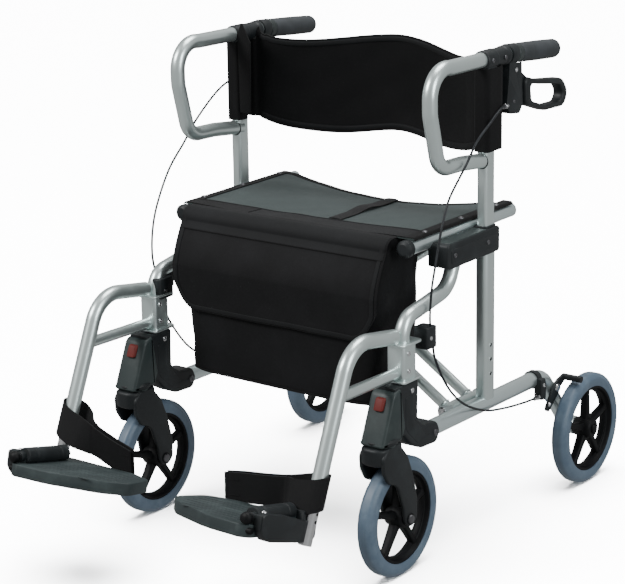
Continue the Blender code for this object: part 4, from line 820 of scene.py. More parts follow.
def makeHandleFrame(label, side):
    # inner post and armrest loop in one
    x, post, radius = side * layout["frameX"], postSizes, legSizes["radius"]
    shapes = [tube(loopLine(x), radius, "silver", 36),
              slab(postOval(x, 0, 0), post["bottomZ"], loopSizes["highZ"] - 0.004, "Z", 0.0008,
                   "silver"),
              weldBead((x, post["y"] - post["halfDepth"] - 0.0002, loopSizes["lowZ"] + 0.0008),
                       (0, 1, 0), radius - 0.0004, 0.0013, "rim")]
    sidePiece(label, "handleFrame", shapes, "handle", "handle_frame")


def makeClamp(label, side):
    # split clamp over the post's top: a stepped sleeve with a seam and two screws
    x, front, high = side * layout["frameX"], 0.134, loopSizes["highZ"]
    profile = softened([(0, 0), (0.0148, 0), (0.0165, 0.002), (0.0165, 0.030), (0.0152, 0.033),
                        (0.0152, 0.060), (0.0162, 0.063), (0.0162, 0.070), (0.0150, 0.072),
                        (0, 0.072)], 0.0008, 30)
    shapes = [turned(profile, (x, front, high), (0, 1, 0), "black", 48),
              block((x - 0.0125, front + 0.002, 0.7800), (x + 0.0125, front + 0.032, 0.7990),
                    0.003, "black", 0.004)]
    shapes += [boltHead((x + side * 0.0160, front + y, high), (side, 0, 0), 0.0038, 0.0018,
                        "dark") for y in (0.012, 0.050)]
    sidePiece(label, "handleClamp", shapes, "handle", "handle_clamp")


def makeGrip(label, side):
    # foam grip: a paler collar in front, a gentle palm swell, and a domed rear end
    front = gripPoint(side, loopSizes["gripY"])
    rear = gripPoint(side, loopSizes["gripY"] + loopSizes["gripLength"])
    length, radius, dome, start = np.linalg.norm(rear - front), 0.0162, 0.013, 0.016
    along = np.linspace(start, length - dome, 60)
    palm = radius + 0.0005 * np.sin((along - start) / (length - start - dome) * math.pi)
    rings = palm - 0.00022 * (np.cos(along / 0.0042 * 2 * math.pi) > 0.86)
    angle = np.linspace(0, math.pi / 2, 12)
    profile = np.concatenate([[(0, 0.015), (0.0150, 0.015)], np.column_stack([rings, along]),
                              np.column_stack([radius * np.cos(angle),
                                               length - dome + dome * np.sin(angle)])])
    collar = softened([(0, 0.0), (0.0150, 0.0), (0.0166, 0.0015), (0.0166, 0.006),
                       (0.0158, 0.008), (0.0158, 0.014), (0.0150, 0.0158), (0, 0.0158)], 0.0006,
                      30)
    shapes = [turned(profile, front, rear - front, "foam", 56),
              turned(collar, front, rear - front, "collar", 56)]
    sidePiece(label, "pushGrip", shapes, "handle", "push_grip")


leverSizes = dict(y=0.230, z=0.775, width=0.022)


def makeLeverBracket(label, side):
    # housing under the grip with its pin, a screw and the cable's adjuster with its nut
    x, y, z = side * layout["frameX"], leverSizes["y"], leverSizes["z"]
    far = (0.2625, -0.0560) if side > 0 else (-0.2545, -0.0545)
    shapes = [fromNode(f"brake_bracket_{label}", 0.0011, "black"),
              boltHead((x + side * 0.0080, y, z), (side, 0, 0), 0.0042, 0.0020),
              boltHead((x + side * 0.0080, y - 0.006, z - 0.052), (side, 0, 0), 0.0030, 0.0014,
                       "dark"),
              straight((side * 0.2590, y - 0.0180, z - 0.0575), (far[0], y - 0.0325, z + far[1]),
                       0.0042, "steel", 20, 0.0006),
              straight((x + side * 0.0030, y - 0.0215, z - 0.0572),
                       (x + side * 0.0042, y - 0.0262, z - 0.0563), 0.0058, "steel", 6, 0.0004)]
    sidePiece(label, "leverBracket", shapes, "handle", "brake_bracket")


def makeLever(label, side):
    # the loop: both outlines share one parameter, the angle about the opening's middle, and a
    # rounded section joins them
    x, (y, z, width) = side * layout["frameX"], leverSizes.values()
    outer = [(0.026, -0.014), (0.065, -0.026), (0.150, -0.036), (0.170, -0.062),
             (0.156, -0.086), (0.092, -0.084), (0.030, -0.064)]
    inner = [(0.044, -0.030), (0.075, -0.036), (0.140, -0.046), (0.153, -0.062),
             (0.143, -0.076), (0.094, -0.0745), (0.050, -0.060)]
    outerLine = bend(np.add(outer, (y, z)), [0.010, 0.030, 0.020, 0.022, 0.018, 0.030, 0.010],
                     10, True)
    innerLine = bend(np.add(inner, (y, z)), [0.008, 0.020, 0.012, 0.012, 0.012, 0.020, 0.010],
                     10, True)
    centre = innerLine.mean(axis=0)
    closed = lambda line, spacing: even(onSide(x, np.concatenate([line, line[:1]])), spacing)[:-1]
    outerLine, inside = closed(outerLine, 0.0025), closed(innerLine, 0.0010)
    about = lambda line: np.arctan2(line[:, 2] - centre[1], line[:, 1] - centre[0])
    around, angles = about(outerLine), about(inside)
    order = np.argsort(angles)
    radius = np.hypot(inside[:, 1] - centre[0], inside[:, 2] - centre[1])[order]
    reach = np.interp(around, angles[order], radius, period=2 * math.pi)
    innerPoints = np.column_stack([np.full(len(around), x), centre[0] + reach * np.cos(around),
                                   centre[1] + reach * np.sin(around)])
    middle, half = (outerLine + innerPoints) / 2, (outerLine - innerPoints) / 2
    angle = fullTurn(24)[None, :, None]
    points = (middle[:, None] + half[:, None] * powered(np.cos(angle), 0.55)
              + np.array([width / 2, 0, 0]) * powered(np.sin(angle), 0.45))
    tongue = [(-0.006, 0.004), (0.004, 0.007), (0.040, -0.018), (0.040, -0.050),
              (0.020, -0.046), (-0.007, -0.004)]
    shapes = [surface(points, "black", closeI=True),
              plate(np.add(tongue, (y, z)), [0.003, 0.003, 0.002, 0.002, 0.004, 0.003], 15,
                    x - 0.0036, x + 0.0036, "X", 0.0008, "black"),
              straight((x - 0.0078, y, z), (x + 0.0078, y, z), 0.003, "steel", 20)]
    sidePiece(label, "brakeLever", shapes, "lever", "brake_lever")


cableKnots = dict(
    right=[(0.258, 0.2015, 0.716), (0.270, 0.184, 0.722), (0.2780, 0.158, 0.722),
           (0.2780, 0.126, 0.704), (0.2745, 0.092, 0.679), (0.273, 0.062, 0.646),
           (0.273, 0.014, 0.602), (0.273, -0.005, 0.567), (0.273, -0.014, 0.543),
           (0.273, -0.029, 0.495), (0.273, -0.038, 0.463), (0.273, -0.043, 0.415),
           (0.273, -0.036, 0.375), (0.273, -0.026, 0.341), (0.273, 0.007, 0.290),
           (0.2745, 0.052, 0.248), (0.2745, 0.117, 0.217), (0.2745, 0.178, 0.203),
           (0.2745, 0.245, 0.194), (0.2745, 0.2997, 0.190)],
    left=[(0.258, 0.2015, 0.716), (0.270, 0.184, 0.720), (0.2780, 0.156, 0.719),
          (0.2775, 0.110, 0.702), (0.2745, 0.050, 0.664), (0.273, 0.016, 0.633),
          (0.273, -0.028, 0.592), (0.273, -0.062, 0.538), (0.273, -0.077, 0.494),
          (0.273, -0.080, 0.450), (0.273, -0.072, 0.416), (0.273, -0.061, 0.386),
          (0.273, -0.051, 0.343), (0.273, -0.022, 0.298), (0.2745, 0.020, 0.256),
          (0.2745, 0.085, 0.220), (0.2745, 0.160, 0.204), (0.2745, 0.245, 0.194),
          (0.2745, 0.2997, 0.190)])


def makeCable(label, side):
    # sheath along its knots, with a ferrule at each end
    path = curve([(side * x, y, z) for x, y, z in cableKnots[label]], 0.004)
    shapes = [tube(path, 0.0020, "sheath", 16), tube(path[:5], 0.0032, "dark", 20),
              tube(path[-5:], 0.0032, "dark", 20)]
    piece = sidePiece(label, "brakeCable", shapes, None, "brake_cable")
    x = side * layout["frameX"]
    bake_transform(piece)


onBothSides(makeHandleFrame, makeClamp, makeGrip, makeLeverBracket, makeLever, makeCable)
print("handles ready")


# rear brakes and wheels

def makeRearBrake(label, side):
    # plate arm with the cable nipple at its low end and a bar whose end presses on the tyre
    sizes = dict(face=0.2753, lowY=0.333, lowZ=0.166, springX=0.2585, springRadius=0.0078)
    y, z, way = railSizes["brakeY"], railSizes["brakeZ"], (side, 0, 0)
    face = side * sizes["face"]
    turns = np.linspace(0, 2 * math.pi * 3.25, 110)
    spring = np.column_stack([side * (sizes["springX"] + 0.0026 * turns / math.pi / 2),
                              y + sizes["springRadius"] * np.cos(turns),
                              z + sizes["springRadius"] * np.sin(turns)])
    shapes = [fromNode(f"brake_arm_{label}", 0.0008, "black"),
              boltHead((face, y, z), way, 0.0075, 0.0034),
              boltHead((face, sizes["lowY"], sizes["lowZ"]), way, 0.0042, 0.0026),
              tube(spring, 0.0009, "steel", 10, way)]
    sidePiece(label, "brakeArm", shapes, "brake", "brake_arm")


wheelSizes = dict(radius=0.100, rimRadius=0.0767, rimInner=0.067, hubRadius=0.017, spokes=5,
                  spokeWidth=0.014, spokeTaper=0.72, spokeThick=0.007, steps=128,
                  frontY=-0.113, frontZ=0.100, frontHub=0.034, axleInner=0.242, axleOuter=0.311)


def makeWheel(label, end, centre, hub):
    # tyre: a rounded section with a flat middle tread; rim: a channel section, a hub with a
    # bearing seat, and spokes that taper from hub to rim and are thicker along their middle
    sizes, centre, way = wheelSizes, np.array(centre, float), (1, 0, 0)
    name, body = f"{end}Wheel{label.capitalize()}", f"{end}_wheel_{label}"
    steps, hubRadius, rimRadius = sizes["steps"], sizes["hubRadius"], sizes["rimRadius"] + 0.0008
    section = [(0.0770, -0.0135), (0.0850, -0.0150), (0.0925, -0.0148), (0.1000, -0.0085),
               (0.1000, 0.0085), (0.0925, 0.0148), (0.0850, 0.0150), (0.0770, 0.0135)]
    section = bend(section, [0.001, 0.006, 0.010, 0.008, 0.008, 0.010, 0.006, 0.001], 8, True)
    section[:, 0] = np.minimum(section[:, 0], sizes["radius"])
    tyre = turned(section, centre, way, "tyre", steps, closed=True)
    newPiece(name + "Tyre", [tyre], body, [f"{end}_tyre_{label}"])
    half, inner, long = 0.012, sizes["rimInner"], hub / 2
    section = [(rimRadius, -half), (rimRadius, half), (0.0735, half), (0.0715, half * 0.35),
               (inner, 0.0042), (inner, -0.0042), (0.0715, -half * 0.35), (0.0735, -half)]
    section = bend(section, [0.001, 0.001, 0.0016, 0.003, 0.0012, 0.0012, 0.003, 0.0016], 20,
                   True)
    shapes = [turned(section, centre, way, "rim", steps, closed=True)]
    section = [(0.0046, -long + 0.0015), (0.0088, -long + 0.0015), (0.0092, -long),
               (0.0150, -long), (hubRadius, -long + 0.003), (hubRadius + 0.0035, 0),
               (hubRadius, long - 0.003), (0.0150, long), (0.0092, long),
               (0.0088, long - 0.0015), (0.0046, long - 0.0015)]
    section = bend(section, [0, 0, 0.0004, 0.0015, 0.002, 0.004, 0.002, 0.0015, 0.0004, 0, 0],
                   15, True)
    shapes.append(turned(section, centre, way, "rim", 56, closed=True))
    travel = np.linspace(hubRadius - 0.002, inner + 0.003, 22)[:, None]
    share = (travel - travel[0]) / (travel[-1] - travel[0])
    flare = 0.35 * np.exp(-share * 9) + 0.28 * np.exp(-(1 - share) * 9)
    width = sizes["spokeWidth"] * (1 + (sizes["spokeTaper"] - 1) * share + flare) / 2
    thick = sizes["spokeThick"] * (1.0 + 0.25 * (1 - share))
    turn = fullTurn(24)[None]
    profile = np.stack([thick * powered(np.sin(turn), 0.8), width * powered(np.cos(turn), 0.5)],
                       axis=-1)
    for number in range(sizes["spokes"]):
        angle = 2 * math.pi * (number + 0.25) / sizes["spokes"]
        out = np.array([0, math.cos(angle), math.sin(angle)])
        shapes.append(sweep(centre + travel * out, profile, "rim"))
    newPiece(name + "Rim", shapes, body, [f"{end}_rim_{label}"])


def makeWheels(label, side):
    # both wheels of one side; the rear axle has a head inside and a cap outside, and the front
    # axle a cap and a washer at each end
    sizes, x = wheelSizes, side * layout["frameX"]
    rear, front = (railSizes["axleY"], railSizes["axleZ"]), (sizes["frontY"], sizes["frontZ"])
    makeWheel(label, "rear", (side * railSizes["wheelX"], *rear), railSizes["hub"])
    makeWheel(label, "front", (x, *front), sizes["frontHub"])
    inner, outer = side * sizes["axleInner"], side * sizes["axleOuter"]
    shapes = [straight((inner, *rear), (outer + side * 0.003, *rear), 0.0044, "steel", 28),
              turned([(0, 0.0040), (0.0035, 0.0040), (0.0068, 0.0034), (0.0078, 0.0016),
                      (0.0078, 0), (0, 0)], (outer, *rear), (side, 0, 0), "rim", 32),
              boltHead((inner, *rear), (-side, 0, 0), 0.0072, 0.0034)]
    sidePiece(label, "rearAxle", shapes, "side_frame", "rear_axle")
    shapes = [straight((x - 0.025, *front), (x + 0.025, *front), 0.0040, "steel", 28)]
    for way in (-1, 1):
        spot = (x + way * 0.025, *front)
        shapes += [turned([(0, 0.0042), (0.0036, 0.0042), (0.0066, 0.0034), (0.0075, 0.0016),
                           (0.0075, 0), (0, 0)], spot, (way, 0, 0), "dark", 32),
                   turned([(0, 0.0008), (0.0094, 0.0008), (0.0098, 0), (0, 0)], spot,
                          (way, 0, 0), "rim", 32)]
    sidePiece(label, "frontAxle", shapes, "caster", "front_axle")


def makeFork(label, side):
    # a rounded crown under the housing's collar, with a swept leg on either side of the wheel
    x = side * layout["frameX"]
    sizes = dict(top=0.2365, arch=0.2068, inner=0.0175, outer=0.0248, crownHalf=0.0246)
    top, arch, inner, outer, half = sizes.values()
    leg = [(-0.172, top), (-0.141, top), (-0.118, 0.210), (-0.103, 0.174), (-0.091, 0.128),
           (-0.092, 0.096), (-0.108, 0.0835), (-0.1245, 0.094), (-0.130, 0.122),
           (-0.147, 0.166), (-0.172, 0.177), (-0.1845, 0.197), (-0.1865, 0.222)]
    radii = [0.006, 0.014, 0.040, 0.050, 0.030, 0.015, 0.0155, 0.015, 0.040, 0.022, 0.012, 0.014,
             0.014]
    shapes = [plate(rectangle(x - half, -0.1915, x + half, -0.128),
                    [0.0200, 0.0200, 0.0120, 0.0120], 8, arch, top, "Z", 0.0055, "black", 5),
              turned([(0, 0.0012), (0.0225, 0.0012), (0.0245, 0.0004), (0.0245, -0.002),
                      (0, -0.002)], (x, layout["casterY"], top + 0.0005), (0, 0, 1), "grey", 48)]
    shapes += [plate(leg, radii, 8, x + way * inner, x + way * outer, "X", 0.0028, "black", 4)
               for way in (-1, 1)]
    sidePiece(label, "casterFork", shapes, "caster", "caster_fork")


onBothSides(makeRearBrake, makeWheels, makeFork)
print("wheels ready")


# footrests

restSizes = dict(tubeRadius=0.0125, crossRadius=0.0095, bend=0.060, topY=-0.121, topZ=0.403,
                 kneeY=-0.238, kneeZ=0.4217, lowY=-0.3355, lowZ=0.200, slideRadius=0.0107,
                 plateY=-0.345, plateZ=0.1585, tilt=14.0, slideTop=0.120, slideZ=0.134,
                 stops=3, firstStop=0.010, stopPitch=0.012, crossY=-0.270, crossZ=0.345,
                 hingeY=-0.118)


def hangerLine(x):
    # the hanger's middle line: forwards from its hinge, then bent down to the footplate
    sizes = restSizes
    flat = [(sizes["topY"], sizes["topZ"]), (sizes["kneeY"], sizes["kneeZ"]),
            (sizes["lowY"], sizes["lowZ"])]
    return onSide(x, bend(flat, [0, sizes["bend"], 0], 3))


def makeHanger(label, side):
    # bent tube and cross tube, welded to a moulded hinge block with two flanges and a latch
    x, sizes, hinge = side * layout["frameX"], restSizes, restSizes["hingeY"]
    legWay = unit(np.array([0, sizes["lowY"] - sizes["kneeY"], sizes["lowZ"] - sizes["kneeZ"]]))
    foot = np.array([x, sizes["lowY"], sizes["lowZ"]])
    crossY, crossZ = sizes["crossY"], sizes["crossZ"]
    sleeve = [(0.0108, 0), (0.0142, 0.0006), (0.0146, 0.003), (0.0146, 0.012), (0.0138, 0.0135),
              (0.0108, 0.0135)]
    shapes = [tube(hangerLine(x), sizes["tubeRadius"], "silver", 36),
              tube(even([(x, crossY, crossZ), (x, hinge + 0.006, crossZ - 0.004)], 0.02),
                   sizes["crossRadius"], "silver", 32),
              weldBead((x, crossY - 0.0005, crossZ), (0, 1, 0), sizes["crossRadius"] + 0.0004,
                       0.0022),
              block((x - 0.017, hinge, 0.329), (x + 0.017, hinge + 0.0377, 0.3885), 0.0025,
                    "silver", 0.006),
              turned(sleeve, foot + legWay * -0.0118, legWay, "black", 40, closed=True)]
    shapes += [block((x - 0.021, hinge - 0.006, low), (x + 0.021, hinge + 0.050, low + 0.0038),
                     0.0010, "silver", 0.008) for low in (0.3272, 0.387)]
    shapes.append(block((x - 0.007, hinge + 0.036, 0.330), (x + 0.007, hinge + 0.0468, 0.388),
                        0.0020, "black", 0.003))
    shapes += [boltHead((x + way * 0.017, hinge + 0.014, z), (way, 0, 0), 0.0042, 0.0020)
               for way in (-1, 1) for z in (0.345, 0.374)]
    sidePiece(label, "hanger", shapes, "footrest", "hanger")


def tilted(points):
    # from the footplate's own flat layout to the object's: turned about X by its tilt, then moved
    points, angle = np.asarray(points, float), math.radians(restSizes["tilt"])
    y, z = points[..., 1], points[..., 2]
    return np.stack([points[..., 0],
                     restSizes["plateY"] + y * math.cos(angle) + z * math.sin(angle),
                     restSizes["plateZ"] - y * math.sin(angle) + z * math.cos(angle)], axis=-1)


def makeExtension(label, side):
    # tube that slides in the hanger's leg, with a row of stops, and the footplate's bracket
    sizes, leg = restSizes, hangerLine(side * layout["frameX"])
    foot, way = leg[-1], unit(leg[-1] - leg[-2])
    end = foot + way * ((foot[2] - sizes["slideZ"]) / -way[2])
    shapes = [straight(foot - way * sizes["slideTop"], end, sizes["slideRadius"], "steel", 36,
                       0.0008)]
    for number in range(sizes["stops"]):
        spot = foot + way * (sizes["firstStop"] + sizes["stopPitch"] * number)
        spot[0] += side * (sizes["slideRadius"] - 0.0001)
        shapes.append(turned([(0, 0.0002), (0.0026, 0.0002), (0.0026, -0.001), (0, -0.001)],
                             spot, (side, 0, 0), "rim", 20))
    sidePiece(label, "extensionTube", shapes, "extension", "extension_tube")
    bracket = fromNode(f"footplate_bracket_{label}", 0.0011, "black")
    sidePiece(label, "plateBracket", [bracket], "extension", "footplate_bracket")


def makePlatePin(label, side):
    # rod that the footplate turns on, with its knob, a screw and the stop under it
    low, high, screw, *stop = tilted([
        (side * 0.235, -0.012, 0.0195), (side * 0.235, -0.136, 0.0195),
        (side * 0.247, -0.116, 0.0285), (side * 0.2255, -0.138, 0.0010),
        (side * 0.2455, -0.138, 0.0010)])
    forward = unit(high - low)
    knob = softened([(0, 0), (0.0072, 0), (0.0092, 0.0020), (0.0096, 0.0060), (0.0080, 0.0105),
                     (0.0040, 0.0128), (0, 0.0134)], 0.0018, 20)
    shapes = [straight(low, high, 0.0045, "steel", 28, 0.0006),
              turned(knob, high + forward * 0.0010, forward, "rim", 40),
              boltHead(screw, (0, 0.24, 0.97), 0.0042, 0.0024),
              straight(*stop, 0.0052, "rim", 28, 0.0010)]
    sidePiece(label, "platePin", shapes, "extension", "footplate_pivot")


plateSizes = dict(ribs=8, firstY=-0.020, pitch=0.0145, farX=0.208, nearX=0.072, barrelX=0.2315)


def makeFootplate(label, side):
    # plate with low ribs across its tread, and the barrel round the rod; each rib starts
    # farther out towards the plate's rounded front
    sizes, added = plateSizes, []
    for number in range(sizes["ribs"]):
        y = sizes["firstY"] - sizes["pitch"] * number
        reach = sizes["nearX"] + 0.030 * max(0.0, (-y - 0.080) / 0.050) ** 1.5
        added.append(block((side * reach, y - 0.0022, 0.0094),
                           (side * sizes["farX"], y + 0.0022, 0.0104), 0.0005, "tread", 0.0020))
    barrel = [(0.0060, -0.0965), (0.0118, -0.0965), (0.0132, -0.0950), (0.0132, -0.0785),
              (0.0124, -0.0775), (0.0124, -0.0755), (0.0132, -0.0745), (0.0132, -0.0215),
              (0.0124, -0.0205), (0.0124, -0.0185), (0.0132, -0.0175), (0.0132, -0.0015),
              (0.0118, 0.0), (0.0060, 0.0)]
    added.append(turned(barrel, (side * sizes["barrelX"], -0.0268, 0.0215), (0, 1, 0), "black",
                        48, closed=True))
    shapes = [dict(shape, points=tilted(shape["points"])) for shape in added]
    plate = fromNode(f"footplate_{label}", 0.0022, "tread", 3)
    sidePiece(label, "footplate", [plate] + shapes, "plate", "footplate")


onBothSides(makeHanger, makeExtension, makePlatePin, makeFootplate)
print("footrests ready")


# cross brace with the seat rails

braceSizes = dict(sleeveRadius=0.0105, tubeRadius=0.0095, railRadius=0.0125, frontY=-0.045,
                  rearY=0.272)


def makeBrace(name, side, ladder, body, node):
    # a sleeve on the low pivot rod, two ladder tubes and the seat rail with its plugs
    sizes, start, lowX = braceSizes, railSizes["sleeveY"], side * layout["pivotX"]
    railZ, seatZ = layout["railZ"], layout["seatRailZ"]
    highX, rear, radius = -lowX, sizes["rearY"], sizes["tubeRadius"]
    shapes = [straight((lowX, start, railZ), (lowX, start + railSizes["sleeveLength"], railZ),
                       sizes["sleeveRadius"], "silver", 36, 0.0008),
              tube(even([(highX, sizes["frontY"], seatZ), (highX, rear, seatZ)], 0.02),
                   sizes["railRadius"], "silverAlong", 40)]
    for y in ladder:
        line = even([(lowX, y, railZ), (highX, y, seatZ)], 0.03)
        way = unit(line[-1] - line[0])
        shapes += [tube(line, radius, "silver", 32, (0, 1, 0)),
                   weldBead(line[0] + way * 0.0108, way, radius, 0.0018),
                   weldBead(line[-1] - way * 0.0132, way, radius, 0.0018)]
    front = softened([(0, 0), (0.0095, 0.0), (0.0145, 0.0045), (0.0145, 0.0150),
                      (0.0132, 0.0165), (0, 0.0165)], 0.0025, 15)
    back = softened([(0, 0.0035), (0.0080, 0.0035), (0.0126, 0.0012), (0.0126, 0), (0, 0)],
                    0.0012, 15)
    shapes += [turned(front, (highX, -0.053, seatZ), (0, 1, 0), "black", 44),
               turned(back, (highX, rear, seatZ), (0, 1, 0), "black", 44)]
    newPiece(name, shapes, body, [node])


boltSizes = dict(frontY=0.0690, rearY=0.1590, radius=0.0042, headRadius=0.0088, nutRadius=0.0085)


def makeBraceBolt():
    # the bolt that both braces turn on, with a domed head in front and a nut behind
    front, rear, radius, headRadius, nutRadius = boltSizes.values()
    z = (layout["railZ"] + layout["seatRailZ"]) / 2
    shapes = [straight((0, front - 0.001, z), (0, rear + 0.004, z), radius, "steel", 28),
              boltHead((0, front, z), (0, -1, 0), headRadius, 0.0040),
              turned([(0, 0.0045), (0.0070, 0.0045), (nutRadius, 0.0030), (nutRadius, 0),
                      (0, 0)], (0, rear, z), (0, 1, 0), "steel", 6)]
    newPiece("braceBolt", shapes, "brace_a", ["brace_bolt"])


makeBrace("braceA", 1.0, (0.082, 0.149), "brace_a", "cross_brace_a")
makeBrace("braceB", -1.0, (0.104, 0.127), "brace_b", "cross_brace_b")
makeBraceBolt()
print("brace ready")


# seat, bag and straps

seatSizes = dict(half=0.236, frontY=-0.034, rearY=0.246, stripRear=0.266, topZ=0.5393,
                 sagFront=0.003, sagRear=0.0225, reach=0.204, panelY=0.0173, panelCurve=0.287,
                 panelShift=0.072, panelShadeEnd=-0.100, stripInner=0.2185, stripOuter=0.2385)


def ripple(a, b, height, seed):
    # a small uneven surface: three waves whose lengths and directions don't share a period
    waves = np.sin(a * 21 + seed) * np.sin(b * 17 + 1.7 * seed)
    waves = waves + 0.5 * np.sin(a * 43 + b * 31 + 2.3 * seed)
    return height * (waves + 0.3 * np.sin(b * 71 - a * 59 + 3.1 * seed))


def cloth(points, thick, finish):
    # a grid given a front and a back along its normals, and closed round its edges; its first
    # and last rows run out to the middle line, which rounds those two edges
    alongI, alongJ = np.gradient(points, axis=0), np.gradient(points, axis=1)
    lift = unit(np.cross(alongI, alongJ)) * thick / 2
    ring = np.concatenate([points + lift, (points - lift)[:, ::-1]], axis=1)
    first = points[0] - unit(alongI[0]) * thick / 2
    last = points[-1] + unit(alongI[-1]) * thick / 2
    ends = [np.concatenate([edge, edge[::-1]])[None] for edge in (first, last)]
    return surface(np.concatenate([ends[0], ring, ends[1]]), finish)


def seatHeight(x, y):
    # level over the rails, sagging between them, more at the rear than at the front
    sizes = seatSizes
    inside = np.maximum(0.0, 1 - (np.abs(x) / sizes["reach"]) ** 2)
    back = (y - sizes["frontY"]) / (sizes["rearY"] - sizes["frontY"])
    slack = ripple(x * 1.5, y, 0.0006, 1.3) * inside
    return sizes["topZ"] - (sizes["sagFront"] + (sizes["sagRear"] - sizes["sagFront"])
                            * back) * inside + slack


def flattened(wide, thick, sides=16):
    # an oval section that is thick one way and wide the other
    angle = fullTurn(sides)
    return np.column_stack([thick / 2 * np.sin(angle), wide / 2 * powered(np.cos(angle), 0.6)])


def onSeat(x, y, lift):
    # points lifted above the seat's surface
    return np.stack([x, y, seatHeight(x, y) + lift], axis=-1)


def makeSeat():
    # mesh between the rails, a front panel of trim cloth whose left part is painted shade in the
    # black bag cloth, a rear hem and the strips over both rails
    sizes = seatSizes
    front, rear, top = sizes["frontY"], sizes["rearY"], sizes["topZ"]
    x, y = np.meshgrid(np.linspace(-sizes["half"], sizes["half"], 150),
                       np.linspace(front, rear, 96), indexing="ij")
    mesh = newPiece("seatMesh", [cloth(onSeat(x, y, 0.0), 0.0022, "mesh")], "seat",
                    ["seat_sling"])

    # the panel's rear edge bows towards the front at both rails
    half = sizes["stripInner"] + 0.004
    across = np.linspace(-half, half, 120)
    edge = sizes["panelY"] - sizes["panelCurve"] * (across - sizes["panelShift"]) ** 2
    y = front + (edge[:, None] - front) * np.linspace(0, 1, 26)[None]
    x = np.broadcast_to(across[:, None], y.shape)
    # painted shade: the panel is one cloth, but left of panelShadeEnd it takes the black bag
    # cloth, and the rest takes the trim cloth
    dark = np.searchsorted(across, sizes["panelShadeEnd"])
    up = (0, 0, 1)
    shapes = [cloth(onSeat(x[:dark], y[:dark], 0.0021), 0.0012, "bag"),
              cloth(onSeat(x[dark:], y[dark:], 0.0021), 0.0012, "trim"),
              sweep(onSeat(across, edge, 0.0026), flattened(0.0045, 0.0018), "band", up),
              sweep(onSeat(across, np.full_like(across, rear - 0.0065), 0),
                    flattened(0.0145, 0.0052, 20), "band", up)]

    # the strips are turned down at their outer edges, each with three screws
    share = np.linspace(0, 1, 30)[None]
    drop = 0.0042 * np.maximum(0, (share - 0.72) / 0.28) ** 2
    for side in (-1, 1):
        x = side * (sizes["stripInner"] + (sizes["stripOuter"] - sizes["stripInner"]) * share)
        end = sizes["stripRear"] if side > 0 else rear + 0.001
        y = np.linspace(front + 0.001, end, 90)[:, None]
        height = top + 0.0022 - drop + ripple(x, y, 0.0002, 4.0)
        shapes.append(cloth(np.stack(np.broadcast_arrays(x, y, height), axis=-1), 0.0013, "band"))
        shapes += [boltHead((side * 0.2285, y, top + 0.0026), up, 0.0052, 0.0022, "dark")
                   for y in (0.010, 0.118, 0.226)]
    trim = newPiece("seatTrim", shapes, "seat")
    return [mesh, trim]


def makeLiftStrap():
    # pull strap from the front panel to the rear hem, lying a little askew and nearly flat
    along = np.linspace(0.024, seatSizes["rearY"] - 0.002, 110)[:, None]
    share = (along - along[0]) / (along[-1] - along[0])
    hump = 0.003 * np.sin(math.pi * np.clip((share - 0.25) / 0.5, 0, 1)) ** 2
    wide = np.linspace(-0.012, 0.012, 14)[None]
    x = wide + 0.040 - 0.034 * share + 0.0006 * np.sin(along * 40)
    z = seatHeight(0 * along, along) + 0.0042 + hump - 0.0010 * (wide / 0.012) ** 2
    grid = np.stack(np.broadcast_arrays(x, along, z), axis=-1)
    strap = newPiece("liftStrap", [cloth(grid, 0.0018, "strap")], "seat", ["lift_strap"])
    return [strap]


bagSizes = dict(half=0.2060, taper=0.014, frontY=-0.0872, topY=-0.0632, brimY=-0.0462,
                kneeZ=0.4457, shoulderZ=0.5143, rearY=0.0442, lowZ=0.262, corner=0.010)


